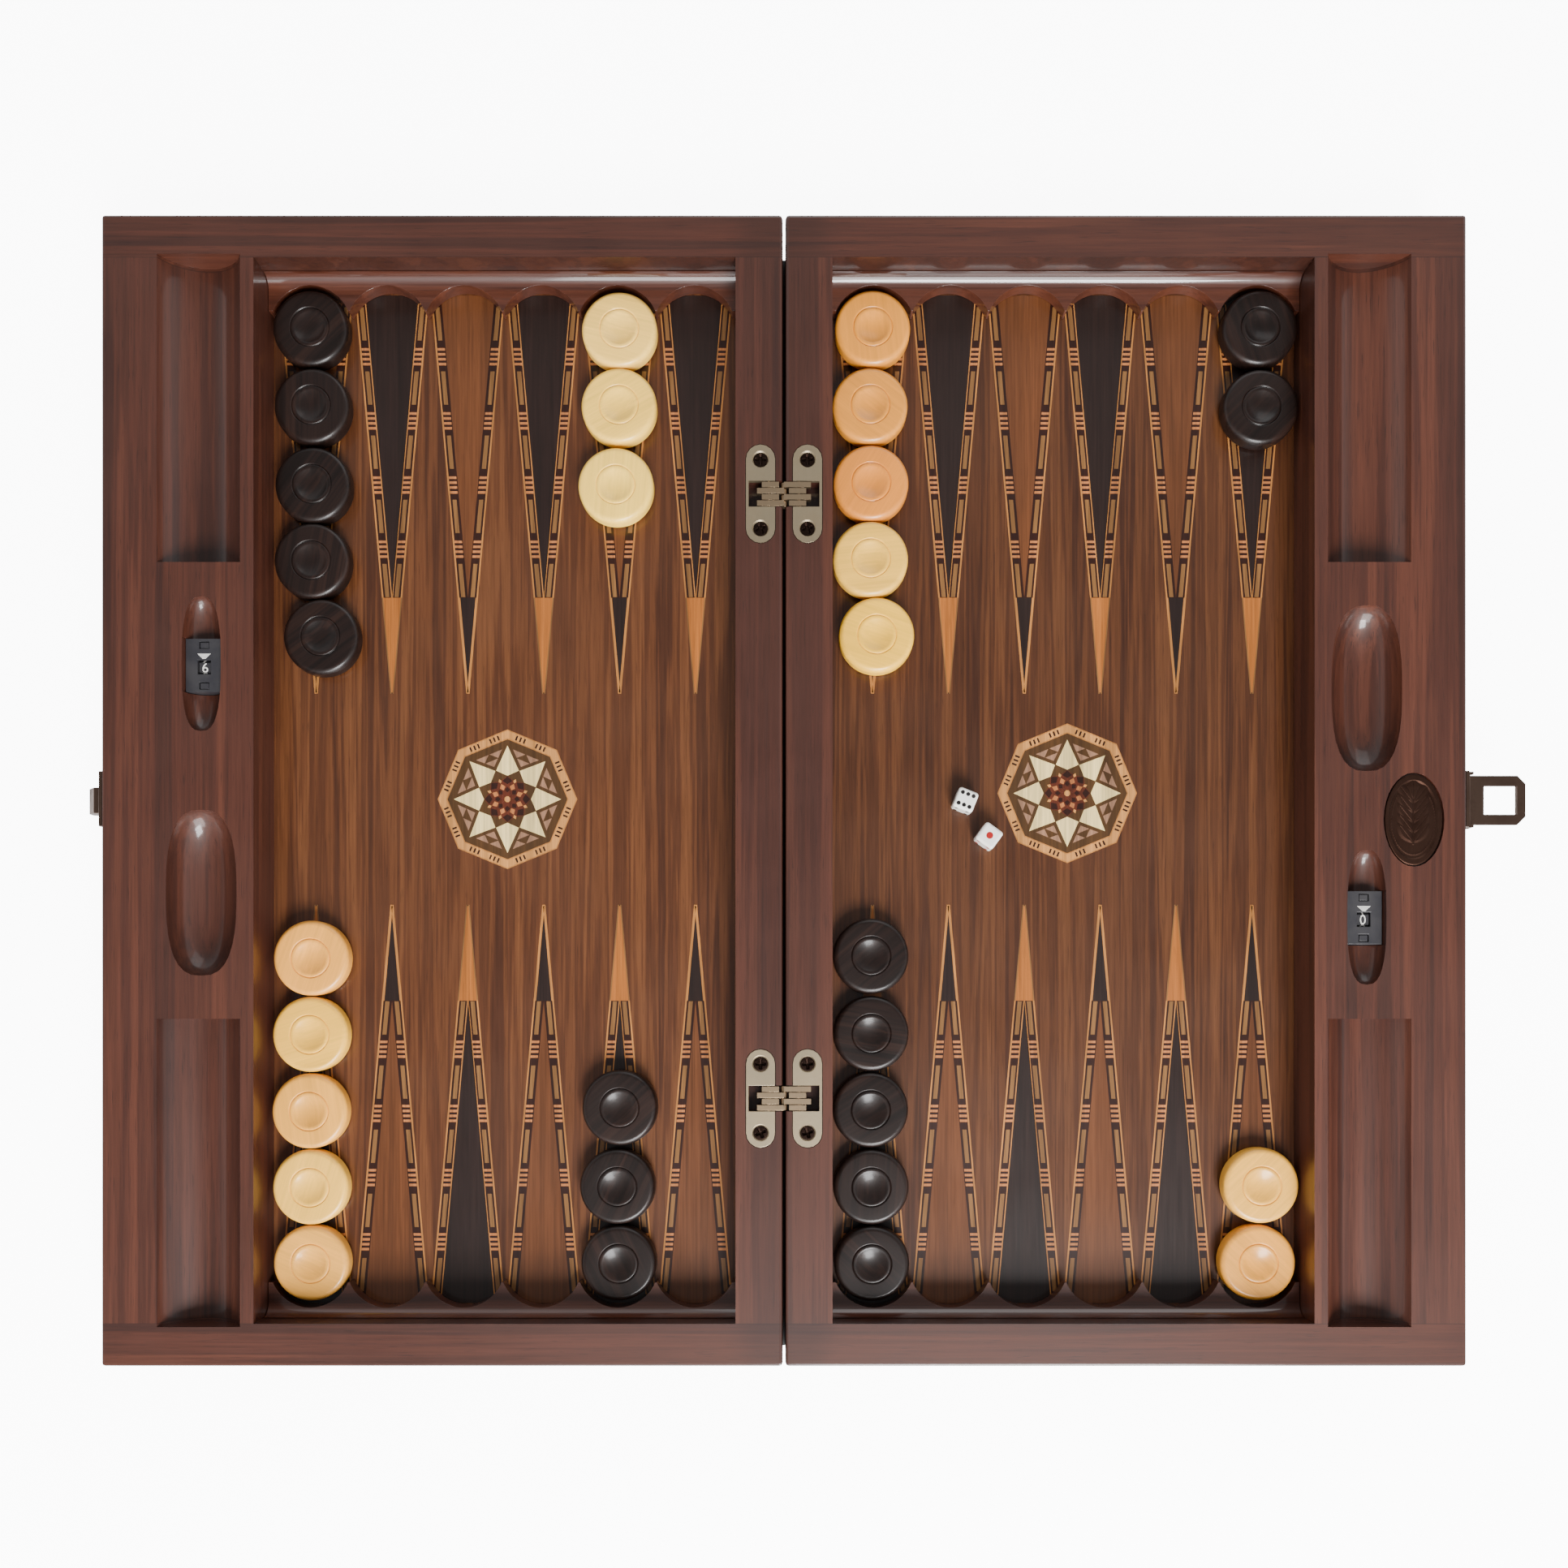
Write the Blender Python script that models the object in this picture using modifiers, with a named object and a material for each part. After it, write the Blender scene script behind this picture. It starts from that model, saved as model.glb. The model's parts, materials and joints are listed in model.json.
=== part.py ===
"""Folding backgammon set, opened flat: two wooden halves, their hinges and latch,
two score counters, thirty checkers and two dice.

Board frame: the fold runs along Y at x = 0, +Z is up and z = 0 is the table.
The left half is at -X and the right half at +X, so most places are a distance
from the fold times a side of -1 or +1.  Lengths are metres.
"""
import math

import bmesh
import bpy
from mathutils import Matrix

MM = 0.001

# Clearances
GAP = 0.3 * MM             # between pieces that touch or rest on each other
EDGE_MARGIN = 1.0 * MM     # how far a cutter stands out of the face that it opens

# Board halves
CASE_LENGTH = 530.0 * MM   # along the fold
CASE_WIDTH = 313.5 * MM    # from the fold to the outer wall, one half
CASE_HEIGHT = 34.0 * MM    # one half
FOLD_SPACE = 1.2 * MM      # between the open halves
CASE_ROUND = 1.6 * MM
HINGE_RAIL = 21.7 * MM     # rail beside the fold
END_RAIL = 19.8 * MM       # rails across both ends
TRAY_WIDTH = 70.2 * MM     # solid side that holds the troughs
FIELD_DEPTH = 24.0 * MM    # rim down to the playing surface
PANEL_LIP = 5.0 * MM       # how far a panel runs in under the rails

# Playing points
POINTS_PER_SIDE = 6
POINT_PITCH = 36.3 * MM

# Scalloped strip across each end of a field
LEDGE_DEPTH = 16.5 * MM    # rim down to its flat top
COVE_RADIUS = 5.8 * MM     # hollow between the wall and the ledge
ARCH_RADIUS = 19.2 * MM
ARCH_INSET = 22.9 * MM     # end wall to the middle of an arch
STRIP_WIDTH = 15.6 * MM    # end wall to the land between two arches

# Checker troughs, one at each end of a side tray
TROUGH_LENGTH = 141.7 * MM
TROUGH_RADIUS = 21.2 * MM
TROUGH_DEPTH = 12.2 * MM
TROUGH_FROM_FIELD = 6.1 * MM
TROUGH_FROM_END = 18.3 * MM

# Oval dice scoop and counter groove in a side tray
HOLLOW_FROM_EDGE = 46.2 * MM      # outer wall to the middle of scoop and groove
SCOOP_LENGTH = 76.5 * MM
SCOOP_WIDTH = 32.6 * MM
SCOOP_DEPTH = 14.5 * MM
SCOOP_FROM_MIDDLE = 47.0 * MM
GROOVE_LENGTH = 62.0 * MM
GROOVE_WIDTH = 18.0 * MM
GROOVE_DEPTH = 9.0 * MM
GROOVE_FROM_MIDDLE = 58.3 * MM
HOLLOW_FULLNESS = 2.7             # 2 is an ellipse, higher is squarer

# Score counter
COUNTER_WIDTH = 17.0 * MM         # across the tray
COUNTER_LENGTH = 24.6 * MM
COUNTER_FLOOR = 1.6 * MM           # housing under the wheel
COUNTER_DROP = 3.0 * MM           # rim down to its face
WHEEL_RADIUS = 7.2 * MM
WHEEL_WIDTH = 5.4 * MM
WHEEL_DROP = 0.8 * MM             # counter's face down to the wheel
AXLE_RADIUS = 1.2 * MM
AXLE_STUB = 1.6 * MM
WHEEL_CLEARANCE = 0.4 * MM
WINDOW_LENGTH = 6.6 * MM
WINDOW_SHIFT = -0.8 * MM          # counter's middle to the window and the wheel
BUTTON_WIDTH = 4.0 * MM
BUTTON_LENGTH = 2.8 * MM
BUTTON_HEIGHT = 1.8 * MM
BUTTON_FROM_MIDDLE = 9.4 * MM
BUTTON_DROP = 0.3 * MM
BUTTON_TRAVEL = 0.8 * MM

# Oval badge
BADGE_LENGTH = 41.7 * MM
BADGE_WIDTH = 26.3 * MM
BADGE_THICKNESS = 1.1 * MM
BADGE_DROP = 0.2 * MM
BADGE_MARGIN = 0.8 * MM
BADGE_FROM_EDGE = 24.5 * MM
BADGE_FROM_MIDDLE = -13.4 * MM

# Folding link hinges
HINGE_SPACING = 278.0 * MM
HINGE_SHIFT = -2.6 * MM           # middle of the pair, along the fold
LEAF_LENGTH = 45.2 * MM
LEAF_WIDTH = 13.4 * MM
LEAF_THICKNESS = 2.4 * MM
LEAF_FROM_FOLD = 4.1 * MM
SLOT_WIDTH = 11.9 * MM            # opening for the links, along the fold
SLOT_REACH = 16.3 * MM            # fold to the far end of the opening
LINK_POCKET_DEPTH = 8.6 * MM
PIVOT_FROM_FOLD = 7.0 * MM
PIVOT_DROP = 1.4 * MM             # fold axis down to a pivot
LINK_PITCH = 2.85 * MM
LINK_PLATE = 2.45 * MM
LINK_BAR = 2.4 * MM               # height of a link's bar
LINK_TAIL = 5.4 * MM              # pivot to the far end of a full plate
SHORT_TAIL = 3.2 * MM             # pivot to the far end of a short plate
KNUCKLE_RADIUS = 1.6 * MM
KNUCKLE_CLEARANCE = 0.7 * MM
PIN_RADIUS = 0.7 * MM
PIN_CLEARANCE = 0.25 * MM
SCREW_SPACING = 31.7 * MM         # between the two screw holes of a leaf
SCREW_HOLE_RADIUS = 2.2 * MM
SCREW_SINK_RADIUS = 3.9 * MM      # mouth of the countersink

# Latch on the outer walls
LATCH_FROM_MIDDLE = -3.5 * MM
LATCH_PLATE = 1.6 * MM
LATCH_PLATE_TOP = 1.5 * MM        # rim down to the plates
BRACKET_LENGTH = 25.8 * MM
BRACKET_HEIGHT = 14.0 * MM
LUG_THICKNESS = 1.2 * MM
LOOP_WIDTH = 22.8 * MM
LOOP_THICKNESS = 2.0 * MM
LOOP_REACH = 26.6 * MM            # pivot to its end
LOOP_BARREL = 1.5 * MM            # radius round its pin
LOOP_PIN = 0.8 * MM
LOOP_PIVOT_DROP = 7.0 * MM        # rim down to its pin
LOOP_END_CHAMFER = 3.8 * MM
WINDOW_WIDTH = 13.3 * MM
WINDOW_NEAR = 7.2 * MM            # pivot to the near side of its opening
WINDOW_FAR = 22.7 * MM
CATCH_LENGTH = 25.5 * MM
CATCH_HEIGHT = 19.5 * MM
HOOK_WIDTH = 12.0 * MM
HOOK_HEIGHT = 9.0 * MM
HOOK_REACH = 9.0 * MM             # plate to the hook's nose
HOOK_NOSE = 4.5 * MM
HOOK_CLEARANCE = 0.5 * MM
HOOK_SWING_CLEARANCE = 0.25 * MM   # its nose to the far bar of the swinging loop

# Loose pieces
CHECKER_RADIUS = 17.8 * MM
CHECKER_THICKNESS = 9.3 * MM
CHECKER_ROUND = 2.2 * MM
CHECKER_PITCH = 36.2 * MM
CHECKER_INSET = 24.6 * MM         # end wall to the first checker of a row
DIE_SIZE = 10.0 * MM
DIE_ROUND = 1.3 * MM

# Rows of checkers: side, point counted from the fold, end (+1 is +Y), tone, and
# how far each one was left off its row, in millimetres along X and Y.
CHECKER_ROWS = (
    (-1, 5, +1, "dark", ((0.3, 0.4), (0.9, -0.1), (1.3, -1.1), (0.9, -0.8), (5.3, -0.5))),
    (-1, 1, +1, "light", ((0.9, -0.3), (0.7, 0.0), (-0.8, -1.4))),
    (-1, 5, -1, "light", ((0.6, 0.2), (0.2, -0.1), (-0.1, -0.4), (0.2, -0.4), (0.6, -0.6))),
    (-1, 1, -1, "dark", ((0.6, 0.2), (0.0, 0.2), (1.1, 1.2))),
    (+1, 0, +1, "light", ((-0.5, 0.5), (-1.7, 0.1), (-1.3, -0.2), (-1.5, 0.1), (1.4, 0.4))),
    (+1, 5, +1, "dark", ((0.7, 0.5), (1.2, -0.6))),
    (+1, 0, -1, "dark", ((-0.9, 0.0), (-1.2, 0.0), (-1.5, 0.2), (-1.2, 0.0), (-1.3, 0.4))),
    (+1, 5, -1, "light", ((-0.2, 0.3), (1.4, 0.6))),
)
# Dice: name, place in X and Y in millimetres, turn in degrees
DICE = (
    ("die_a", 85.7, -1.8, -21.7),
    ("die_b", 96.8, -18.7, -36.2),
)

# Values worked out from the sizes above
CASE_INNER = FOLD_SPACE / 2
CASE_OUTER = CASE_INNER + CASE_WIDTH
FIELD_NEAR = CASE_INNER + HINGE_RAIL
FIELD_FAR = CASE_OUTER - TRAY_WIDTH
FIELD_HALF_LENGTH = CASE_LENGTH / 2 - END_RAIL
PANEL_TOP = CASE_HEIGHT - FIELD_DEPTH
FIRST_POINT = (FIELD_NEAR + FIELD_FAR - (POINTS_PER_SIDE - 1) * POINT_PITCH) / 2
FOLD_HEIGHT = CASE_HEIGHT + GAP / 2
PIVOT_HEIGHT = FOLD_HEIGHT - PIVOT_DROP
CENTRE_PIN_HEIGHT = FOLD_HEIGHT - 2 * PIVOT_DROP
HOLLOW_X = CASE_OUTER - HOLLOW_FROM_EDGE
LATCH_FACE = CASE_OUTER + GAP + LATCH_PLATE
LOOP_PIVOT_X = LATCH_FACE + GAP + LOOP_BARREL
LOOP_PIVOT_Z = CASE_HEIGHT - LOOP_PIVOT_DROP
HOOK_BOTTOM = 2 * FOLD_HEIGHT - LOOP_PIVOT_Z - WINDOW_FAR + HOOK_CLEARANCE
HOOK_SWING = WINDOW_FAR - HOOK_SWING_CLEARANCE   # radius that its nose stays inside
COUNTER_TOP = CASE_HEIGHT - COUNTER_DROP
WHEEL_HEIGHT = COUNTER_TOP - WHEEL_DROP - WHEEL_RADIUS
COUNTER_HEIGHT = WHEEL_DROP + 2 * WHEEL_RADIUS + WHEEL_CLEARANCE + COUNTER_FLOOR
CENTRE_SHIFT = (HOOK_REACH + LATCH_FACE - LOOP_PIVOT_X - LOOP_REACH) / 2

# Colours as red, green, blue, then roughness and metallic
FINISHES = {
    "case_wood": ((0.105, 0.032, 0.018), 0.32, 0.0),
    "field_veneer": ((0.175, 0.070, 0.028), 0.35, 0.0),
    "hinge_bronze": ((0.42, 0.33, 0.25), 0.38, 1.0),
    "link_steel": ((0.55, 0.50, 0.43), 0.30, 1.0),
    "latch_bronze": ((0.085, 0.065, 0.055), 0.45, 1.0),
    "badge_bronze": ((0.10, 0.060, 0.045), 0.50, 1.0),
    "counter_black": ((0.020, 0.020, 0.024), 0.45, 0.0),
    "checker_dark": ((0.030, 0.014, 0.011), 0.30, 0.0),
    "checker_light": ((0.70, 0.42, 0.17), 0.35, 0.0),
    "die_white": ((0.85, 0.83, 0.78), 0.25, 0.0),
}
ROUND_STEPS = 32
CHECKER_STEPS = 20
HOLLOW_STEPS = 32
FACET_ANGLE = math.radians(35)
WELD = 0.00001


def clear_scene():
    """Remove whatever the file holds."""
    for obj in list(bpy.data.objects):
        bpy.data.objects.remove(obj, do_unlink=True)


def new_collection(name):
    """A collection linked to the scene."""
    collection = bpy.data.collections.new(name)
    bpy.context.scene.collection.children.link(collection)
    return collection


def new_material(name):
    """A plain Principled material with the finish of that name."""
    colour, roughness, metallic = FINISHES[name]
    material = bpy.data.materials.new(name)
    material.use_nodes = True
    shader = material.node_tree.nodes["Principled BSDF"]
    shader.inputs["Base Color"].default_value = (*colour, 1.0)
    shader.inputs["Roughness"].default_value = roughness
    shader.inputs["Metallic"].default_value = metallic
    return material


class Workshop:
    """Makes pieces and cutters in their collections."""

    def __init__(self):
        self.parts = new_collection("backgammon_set")
        self.cutters = new_collection("cutters")
        self.board = bpy.data.objects.new("board_frame", None)
        self.board.location = (CENTRE_SHIFT, 0.0, 0.0)
        self.parts.objects.link(self.board)

    def add(self, name, mesh, location=(0.0, 0.0, 0.0), rotation=(0.0, 0.0, 0.0)):
        """An object in the board frame that is a cutter until it is finished."""
        obj = bpy.data.objects.new(name, mesh)
        obj.parent = self.board
        obj.location = location
        obj.rotation_euler = rotation
        obj.hide_render = True
        obj.display_type = "WIRE"
        self.cutters.objects.link(obj)
        return obj

    def finish(self, obj, name, finish):
        """Make an object one of the set's pieces, with its own material."""
        obj.name = name
        obj.data.name = name
        obj.hide_render = False
        obj.display_type = "TEXTURED"
        self.cutters.objects.unlink(obj)
        self.parts.objects.link(obj)
        obj.data.materials.clear()
        obj.data.materials.append(new_material(finish))
        obj.data.shade_smooth()
        obj.data.set_sharp_from_angle(angle=FACET_ANGLE)
        return obj


def block(shop, name, low, high):
    """A box between two corners, its origin in its middle."""
    size = [b - a for a, b in zip(low, high)]
    middle = [(a + b) / 2 for a, b in zip(low, high)]
    mesh = bpy.data.meshes.new(name)
    shape = bmesh.new()
    bmesh.ops.create_cube(shape, size=1.0)
    bmesh.ops.scale(shape, vec=size, verts=shape.verts)
    shape.to_mesh(mesh)
    shape.free()
    return shop.add(name, mesh, middle)


def span(side, near, far):
    """The lowest and highest X of a stretch on one side of the fold."""
    return (near, far) if side > 0 else (-far, -near)


def side_block(shop, name, side, near, far, y_range, z_range):
    """A box on one side of the fold, from its near to its far distance."""
    low_x, high_x = span(side, near, far)
    return block(shop, name, (low_x, y_range[0], z_range[0]), (high_x, y_range[1], z_range[1]))


def rod(shop, name, radius, length, middle, axis, steps=ROUND_STEPS, top_radius=None):
    """A cylinder about X, Y or Z, or a cone that ends in another radius."""
    turns = {"X": (0.0, math.pi / 2, 0.0), "Y": (math.pi / 2, 0.0, 0.0), "Z": (0.0, 0.0, 0.0)}
    mesh = bpy.data.meshes.new(name)
    shape = bmesh.new()
    bmesh.ops.create_cone(
        shape, cap_ends=True, segments=steps, radius1=radius,
        radius2=radius if top_radius is None else top_radius, depth=length,
    )
    shape.to_mesh(mesh)
    shape.free()
    return shop.add(name, mesh, middle, turns[axis])


def turned(shop, name, profile, middle, rotation=(0.0, 0.0, 0.0), steps=ROUND_STEPS):
    """A solid turned about its own Z from (radius, height) points, top to bottom."""
    mesh = bpy.data.meshes.new(name)
    points = [(radius, 0.0, height) for radius, height in profile]
    mesh.from_pydata(points, [(i, i + 1) for i in range(len(points) - 1)], [])
    obj = shop.add(name, mesh, middle, rotation)
    screw = obj.modifiers.new("turn", "SCREW")
    screw.steps = steps
    screw.render_steps = steps
    screw.use_merge_vertices = True
    screw.merge_threshold = WELD
    return obj


def sheet(shop, name, outlines, thickness, middle, axis="Z"):
    """A flat plate from closed outlines; the second outline is its opening.

    The outline lies in XY and the plate is thick along Z.  With axis "X" the
    outline's two directions become Y and Z, and with "Y" they become X and Z.
    """
    turns = {
        "X": Matrix(((0, 0, 1), (1, 0, 0), (0, 1, 0))),
        "Y": Matrix(((1, 0, 0), (0, 0, -1), (0, 1, 0))),
        "Z": Matrix.Identity(3),
    }
    curve = bpy.data.curves.new(name, "CURVE")
    curve.dimensions = "2D"
    curve.fill_mode = "BOTH"
    curve.extrude = thickness / 2
    for outline in outlines:
        spline = curve.splines.new("POLY")
        spline.points.add(len(outline) - 1)
        for point, (across, along) in zip(spline.points, outline):
            point.co = (across, along, 0.0, 1.0)
        spline.use_cyclic_u = True
    guide = bpy.data.objects.new(name + "_outline", curve)
    shop.cutters.objects.link(guide)
    graph = bpy.context.evaluated_depsgraph_get()
    mesh = bpy.data.meshes.new_from_object(guide.evaluated_get(graph))
    bpy.data.objects.remove(guide, do_unlink=True)
    shape = bmesh.new()
    shape.from_mesh(mesh)
    bmesh.ops.remove_doubles(shape, verts=shape.verts, dist=WELD)
    bmesh.ops.recalc_face_normals(shape, faces=shape.faces)
    shape.to_mesh(mesh)
    shape.free()
    return shop.add(name, mesh, middle, turns[axis].to_euler())


def combine(target, others, operation):
    """Cut or join other objects into a target with exact Booleans."""
    for other in others:
        boolean = target.modifiers.new(other.name, "BOOLEAN")
        boolean.operation = operation
        boolean.solver = "EXACT"
        boolean.object = other
    return target


def round_edges(obj, width, segments):
    """Round the sharp edges of an object."""
    bevel = obj.modifiers.new("round", "BEVEL")
    bevel.width = width
    bevel.segments = segments
    bevel.limit_method = "ANGLE"
    return obj


def arc(centre, radius, start, end, steps):
    """Points along an arc, angles in degrees."""
    angles = [math.radians(start + (end - start) * i / steps) for i in range(steps + 1)]
    return [(centre[0] + radius * math.cos(a), centre[1] + radius * math.sin(a)) for a in angles]


def stadium(length, width, steps=8):
    """A rounded outline, long along its second direction."""
    radius = width / 2
    straight = length / 2 - radius
    top = arc((0.0, straight), radius, 0.0, 180.0, steps)
    bottom = arc((0.0, -straight), radius, 180.0, 360.0, steps)
    return top + bottom


def oval(length, width, steps=HOLLOW_STEPS):
    """An elliptical outline, long along its second direction."""
    turns = [2 * math.pi * i / steps for i in range(steps)]
    return [(width / 2 * math.cos(t), length / 2 * math.sin(t)) for t in turns]


def hollow(shop, name, side, length, width, depth, y_middle, rings=18):
    """A spindle along Y that scoops an oval hollow out of the rim.

    Its radius falls off as a superellipse, and its axis stands above the rim by
    what gives the hollow its width and depth.
    """
    rise = (width * width / 4 - depth * depth) / (2 * depth)
    radius = rise + depth
    reach = length / 2 / (1 - (rise / radius) ** HOLLOW_FULLNESS) ** (1 / HOLLOW_FULLNESS)
    profile = []
    for i in range(rings + 1):
        turn = math.pi * i / rings
        along = math.cos(turn)
        share = max(0.0, 1 - abs(along) ** HOLLOW_FULLNESS) ** (1 / HOLLOW_FULLNESS)
        profile.append((radius * share, reach * along))
    middle = (side * HOLLOW_X, y_middle, CASE_HEIGHT + rise)
    return turned(shop, name, profile, middle, (math.pi / 2, 0.0, 0.0), HOLLOW_STEPS)


def hinge_places():
    """The two hinges: name and place along the fold."""
    return (
        ("upper_hinge", HINGE_SHIFT + HINGE_SPACING / 2),
        ("lower_hinge", HINGE_SHIFT - HINGE_SPACING / 2),
    )


def field_cutters(shop, side, label):
    """The open field and the rebate under the rails that holds its panel."""
    opening = side_block(
        shop, label + "_field_cut", side, FIELD_NEAR, FIELD_FAR,
        (-FIELD_HALF_LENGTH, FIELD_HALF_LENGTH), (-EDGE_MARGIN, CASE_HEIGHT + EDGE_MARGIN),
    )
    lip = PANEL_LIP + GAP
    rebate = side_block(
        shop, label + "_rebate_cut", side, FIELD_NEAR - lip, FIELD_FAR + lip,
        (-FIELD_HALF_LENGTH - lip, FIELD_HALF_LENGTH + lip), (-EDGE_MARGIN, PANEL_TOP + GAP),
    )
    return [opening, rebate]


def trough_cutters(shop, side, label):
    """The two round-bottomed checker troughs."""
    half_width = math.sqrt(TROUGH_RADIUS ** 2 - (TROUGH_RADIUS - TROUGH_DEPTH) ** 2)
    x = side * (FIELD_FAR + TROUGH_FROM_FIELD + half_width)
    z = CASE_HEIGHT + TROUGH_RADIUS - TROUGH_DEPTH
    y = CASE_LENGTH / 2 - TROUGH_FROM_END - TROUGH_LENGTH / 2
    return [
        rod(shop, f"{label}_trough_cut_{i}", TROUGH_RADIUS, TROUGH_LENGTH, (x, end * y, z), "Y", 48)
        for i, end in enumerate((-1, 1))
    ]


def tray_cutters(shop, side, label):
    """The dice scoop, the counter groove and the counter's pocket."""
    scoop = hollow(
        shop, label + "_scoop_cut", side, SCOOP_LENGTH, SCOOP_WIDTH, SCOOP_DEPTH,
        side * SCOOP_FROM_MIDDLE,
    )
    groove_y = -side * GROOVE_FROM_MIDDLE
    groove = hollow(
        shop, label + "_groove_cut", side, GROOVE_LENGTH, GROOVE_WIDTH, GROOVE_DEPTH, groove_y
    )
    half_width = COUNTER_WIDTH / 2 + GAP
    half_length = COUNTER_LENGTH / 2 + GAP
    pocket = side_block(
        shop, label + "_counter_cut", side, HOLLOW_X - half_width, HOLLOW_X + half_width,
        (groove_y - half_length, groove_y + half_length),
        (COUNTER_TOP - COUNTER_HEIGHT - GAP, CASE_HEIGHT + EDGE_MARGIN),
    )
    return [scoop, groove, pocket]


def hinge_cutters(shop, side, label):
    """The leaf recess and the deeper link pocket of each hinge."""
    cutters = []
    for hinge, y in hinge_places():
        depth = LEAF_THICKNESS + GAP
        recess = sheet(
            shop, f"{label}_{hinge}_recess_cut",
            [stadium(LEAF_LENGTH + 2 * GAP, LEAF_WIDTH + 2 * GAP)], depth + EDGE_MARGIN,
            (side * (LEAF_FROM_FOLD + LEAF_WIDTH / 2), y, CASE_HEIGHT + (EDGE_MARGIN - depth) / 2),
        )
        half_slot = SLOT_WIDTH / 2
        pocket = side_block(
            shop, f"{label}_{hinge}_pocket_cut", side, CASE_INNER - EDGE_MARGIN, SLOT_REACH + GAP,
            (y - half_slot, y + half_slot),
            (CASE_HEIGHT - LINK_POCKET_DEPTH, CASE_HEIGHT + EDGE_MARGIN),
        )
        cutters += [recess, pocket]
    return cutters


def badge_cutter(shop, side):
    """The oval recess of the badge."""
    depth = BADGE_DROP + BADGE_THICKNESS + GAP
    outline = oval(BADGE_LENGTH + 2 * BADGE_MARGIN, BADGE_WIDTH + 2 * BADGE_MARGIN)
    middle = (
        side * (CASE_OUTER - BADGE_FROM_EDGE), BADGE_FROM_MIDDLE,
        CASE_HEIGHT + (EDGE_MARGIN - depth) / 2,
    )
    return sheet(shop, "badge_cut", [outline], depth + EDGE_MARGIN, middle)


def make_case(shop, side, label):
    """Rails and side tray of one half, in one piece with all its hollows."""
    case = side_block(
        shop, label + "_case", side, CASE_INNER, CASE_OUTER,
        (-CASE_LENGTH / 2, CASE_LENGTH / 2), (0.0, CASE_HEIGHT),
    )
    round_edges(case, CASE_ROUND, 2)
    cutters = field_cutters(shop, side, label) + trough_cutters(shop, side, label)
    cutters += tray_cutters(shop, side, label) + hinge_cutters(shop, side, label)
    if side > 0:
        cutters.append(badge_cutter(shop, side))
    combine(case, cutters, "DIFFERENCE")
    return shop.finish(case, label + "_case", "case_wood")


def make_panel(shop, side, label):
    """The inlaid board that is the playing surface of one half."""
    panel = side_block(
        shop, label + "_field_panel", side, FIELD_NEAR - PANEL_LIP, FIELD_FAR + PANEL_LIP,
        (-FIELD_HALF_LENGTH - PANEL_LIP, FIELD_HALF_LENGTH + PANEL_LIP), (0.0, PANEL_TOP),
    )
    return shop.finish(panel, label + "_field_panel", "field_veneer")


def point_places(side):
    """Distance along X of the points of one half, from the fold outwards."""
    return [side * (FIRST_POINT + i * POINT_PITCH) for i in range(POINTS_PER_SIDE)]


def make_scallop(shop, side, end, label):
    """The strip across one end of a field: a cove, a ledge and round bays."""
    back = FIELD_HALF_LENGTH - GAP
    ledge = CASE_HEIGHT - LEDGE_DEPTH
    front = FIELD_HALF_LENGTH - STRIP_WIDTH
    bottom = PANEL_TOP + GAP
    cove = arc((back - COVE_RADIUS, ledge + COVE_RADIUS), COVE_RADIUS, 0.0, -90.0, 6)
    section = [(back, bottom)] + cove + [(front, ledge), (front, bottom)]
    outline = [(end * y, z) for y, z in section]
    low_x, high_x = span(side, FIELD_NEAR + GAP, FIELD_FAR - GAP)
    name = f"{label}_{'top' if end > 0 else 'bottom'}_scallop"
    strip = sheet(shop, name, [outline], high_x - low_x, ((low_x + high_x) / 2, 0.0, 0.0), "X")
    bay_y = end * (FIELD_HALF_LENGTH - ARCH_INSET)
    bays = [
        rod(shop, f"{name}_bay_{i}", ARCH_RADIUS, CASE_HEIGHT, (x, bay_y, CASE_HEIGHT / 2), "Z", 40)
        for i, x in enumerate(point_places(side))
    ]
    combine(strip, bays, "DIFFERENCE")
    return shop.finish(strip, name, "case_wood")


def make_counter(shop, side, label):
    """A one-digit score counter: housing, digit wheel and two push buttons."""
    x = side * HOLLOW_X
    y = -side * GROOVE_FROM_MIDDLE
    wheel_y = y + WINDOW_SHIFT
    half = (COUNTER_WIDTH / 2, COUNTER_LENGTH / 2)
    housing = block(
        shop, label + "_counter_housing",
        (x - half[0], y - half[1], COUNTER_TOP - COUNTER_HEIGHT),
        (x + half[0], y + half[1], COUNTER_TOP),
    )
    hole_width = WHEEL_WIDTH + 2 * WHEEL_CLEARANCE
    chamber = rod(
        shop, label + "_chamber_cut", WHEEL_RADIUS + WHEEL_CLEARANCE, hole_width,
        (x, wheel_y, WHEEL_HEIGHT), "X",
    )
    window = block(
        shop, label + "_window_cut",
        (x - hole_width / 2, wheel_y - WINDOW_LENGTH / 2, WHEEL_HEIGHT),
        (x + hole_width / 2, wheel_y + WINDOW_LENGTH / 2, COUNTER_TOP + EDGE_MARGIN),
    )
    bearing = rod(
        shop, label + "_bearing_cut", AXLE_RADIUS + PIN_CLEARANCE,
        WHEEL_WIDTH + 2 * (AXLE_STUB + WHEEL_CLEARANCE), (x, wheel_y, WHEEL_HEIGHT), "X", 16,
    )
    cutters = [chamber, window, bearing]
    for name, way in (("plus", 1), ("minus", -1)):
        button_y = y + way * BUTTON_FROM_MIDDLE
        cutters.append(make_button(shop, label, name, x, button_y))
    combine(housing, cutters, "DIFFERENCE")
    shop.finish(housing, label + "_counter_housing", "counter_black")
    make_wheel(shop, label, (x, wheel_y, WHEEL_HEIGHT))


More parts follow.
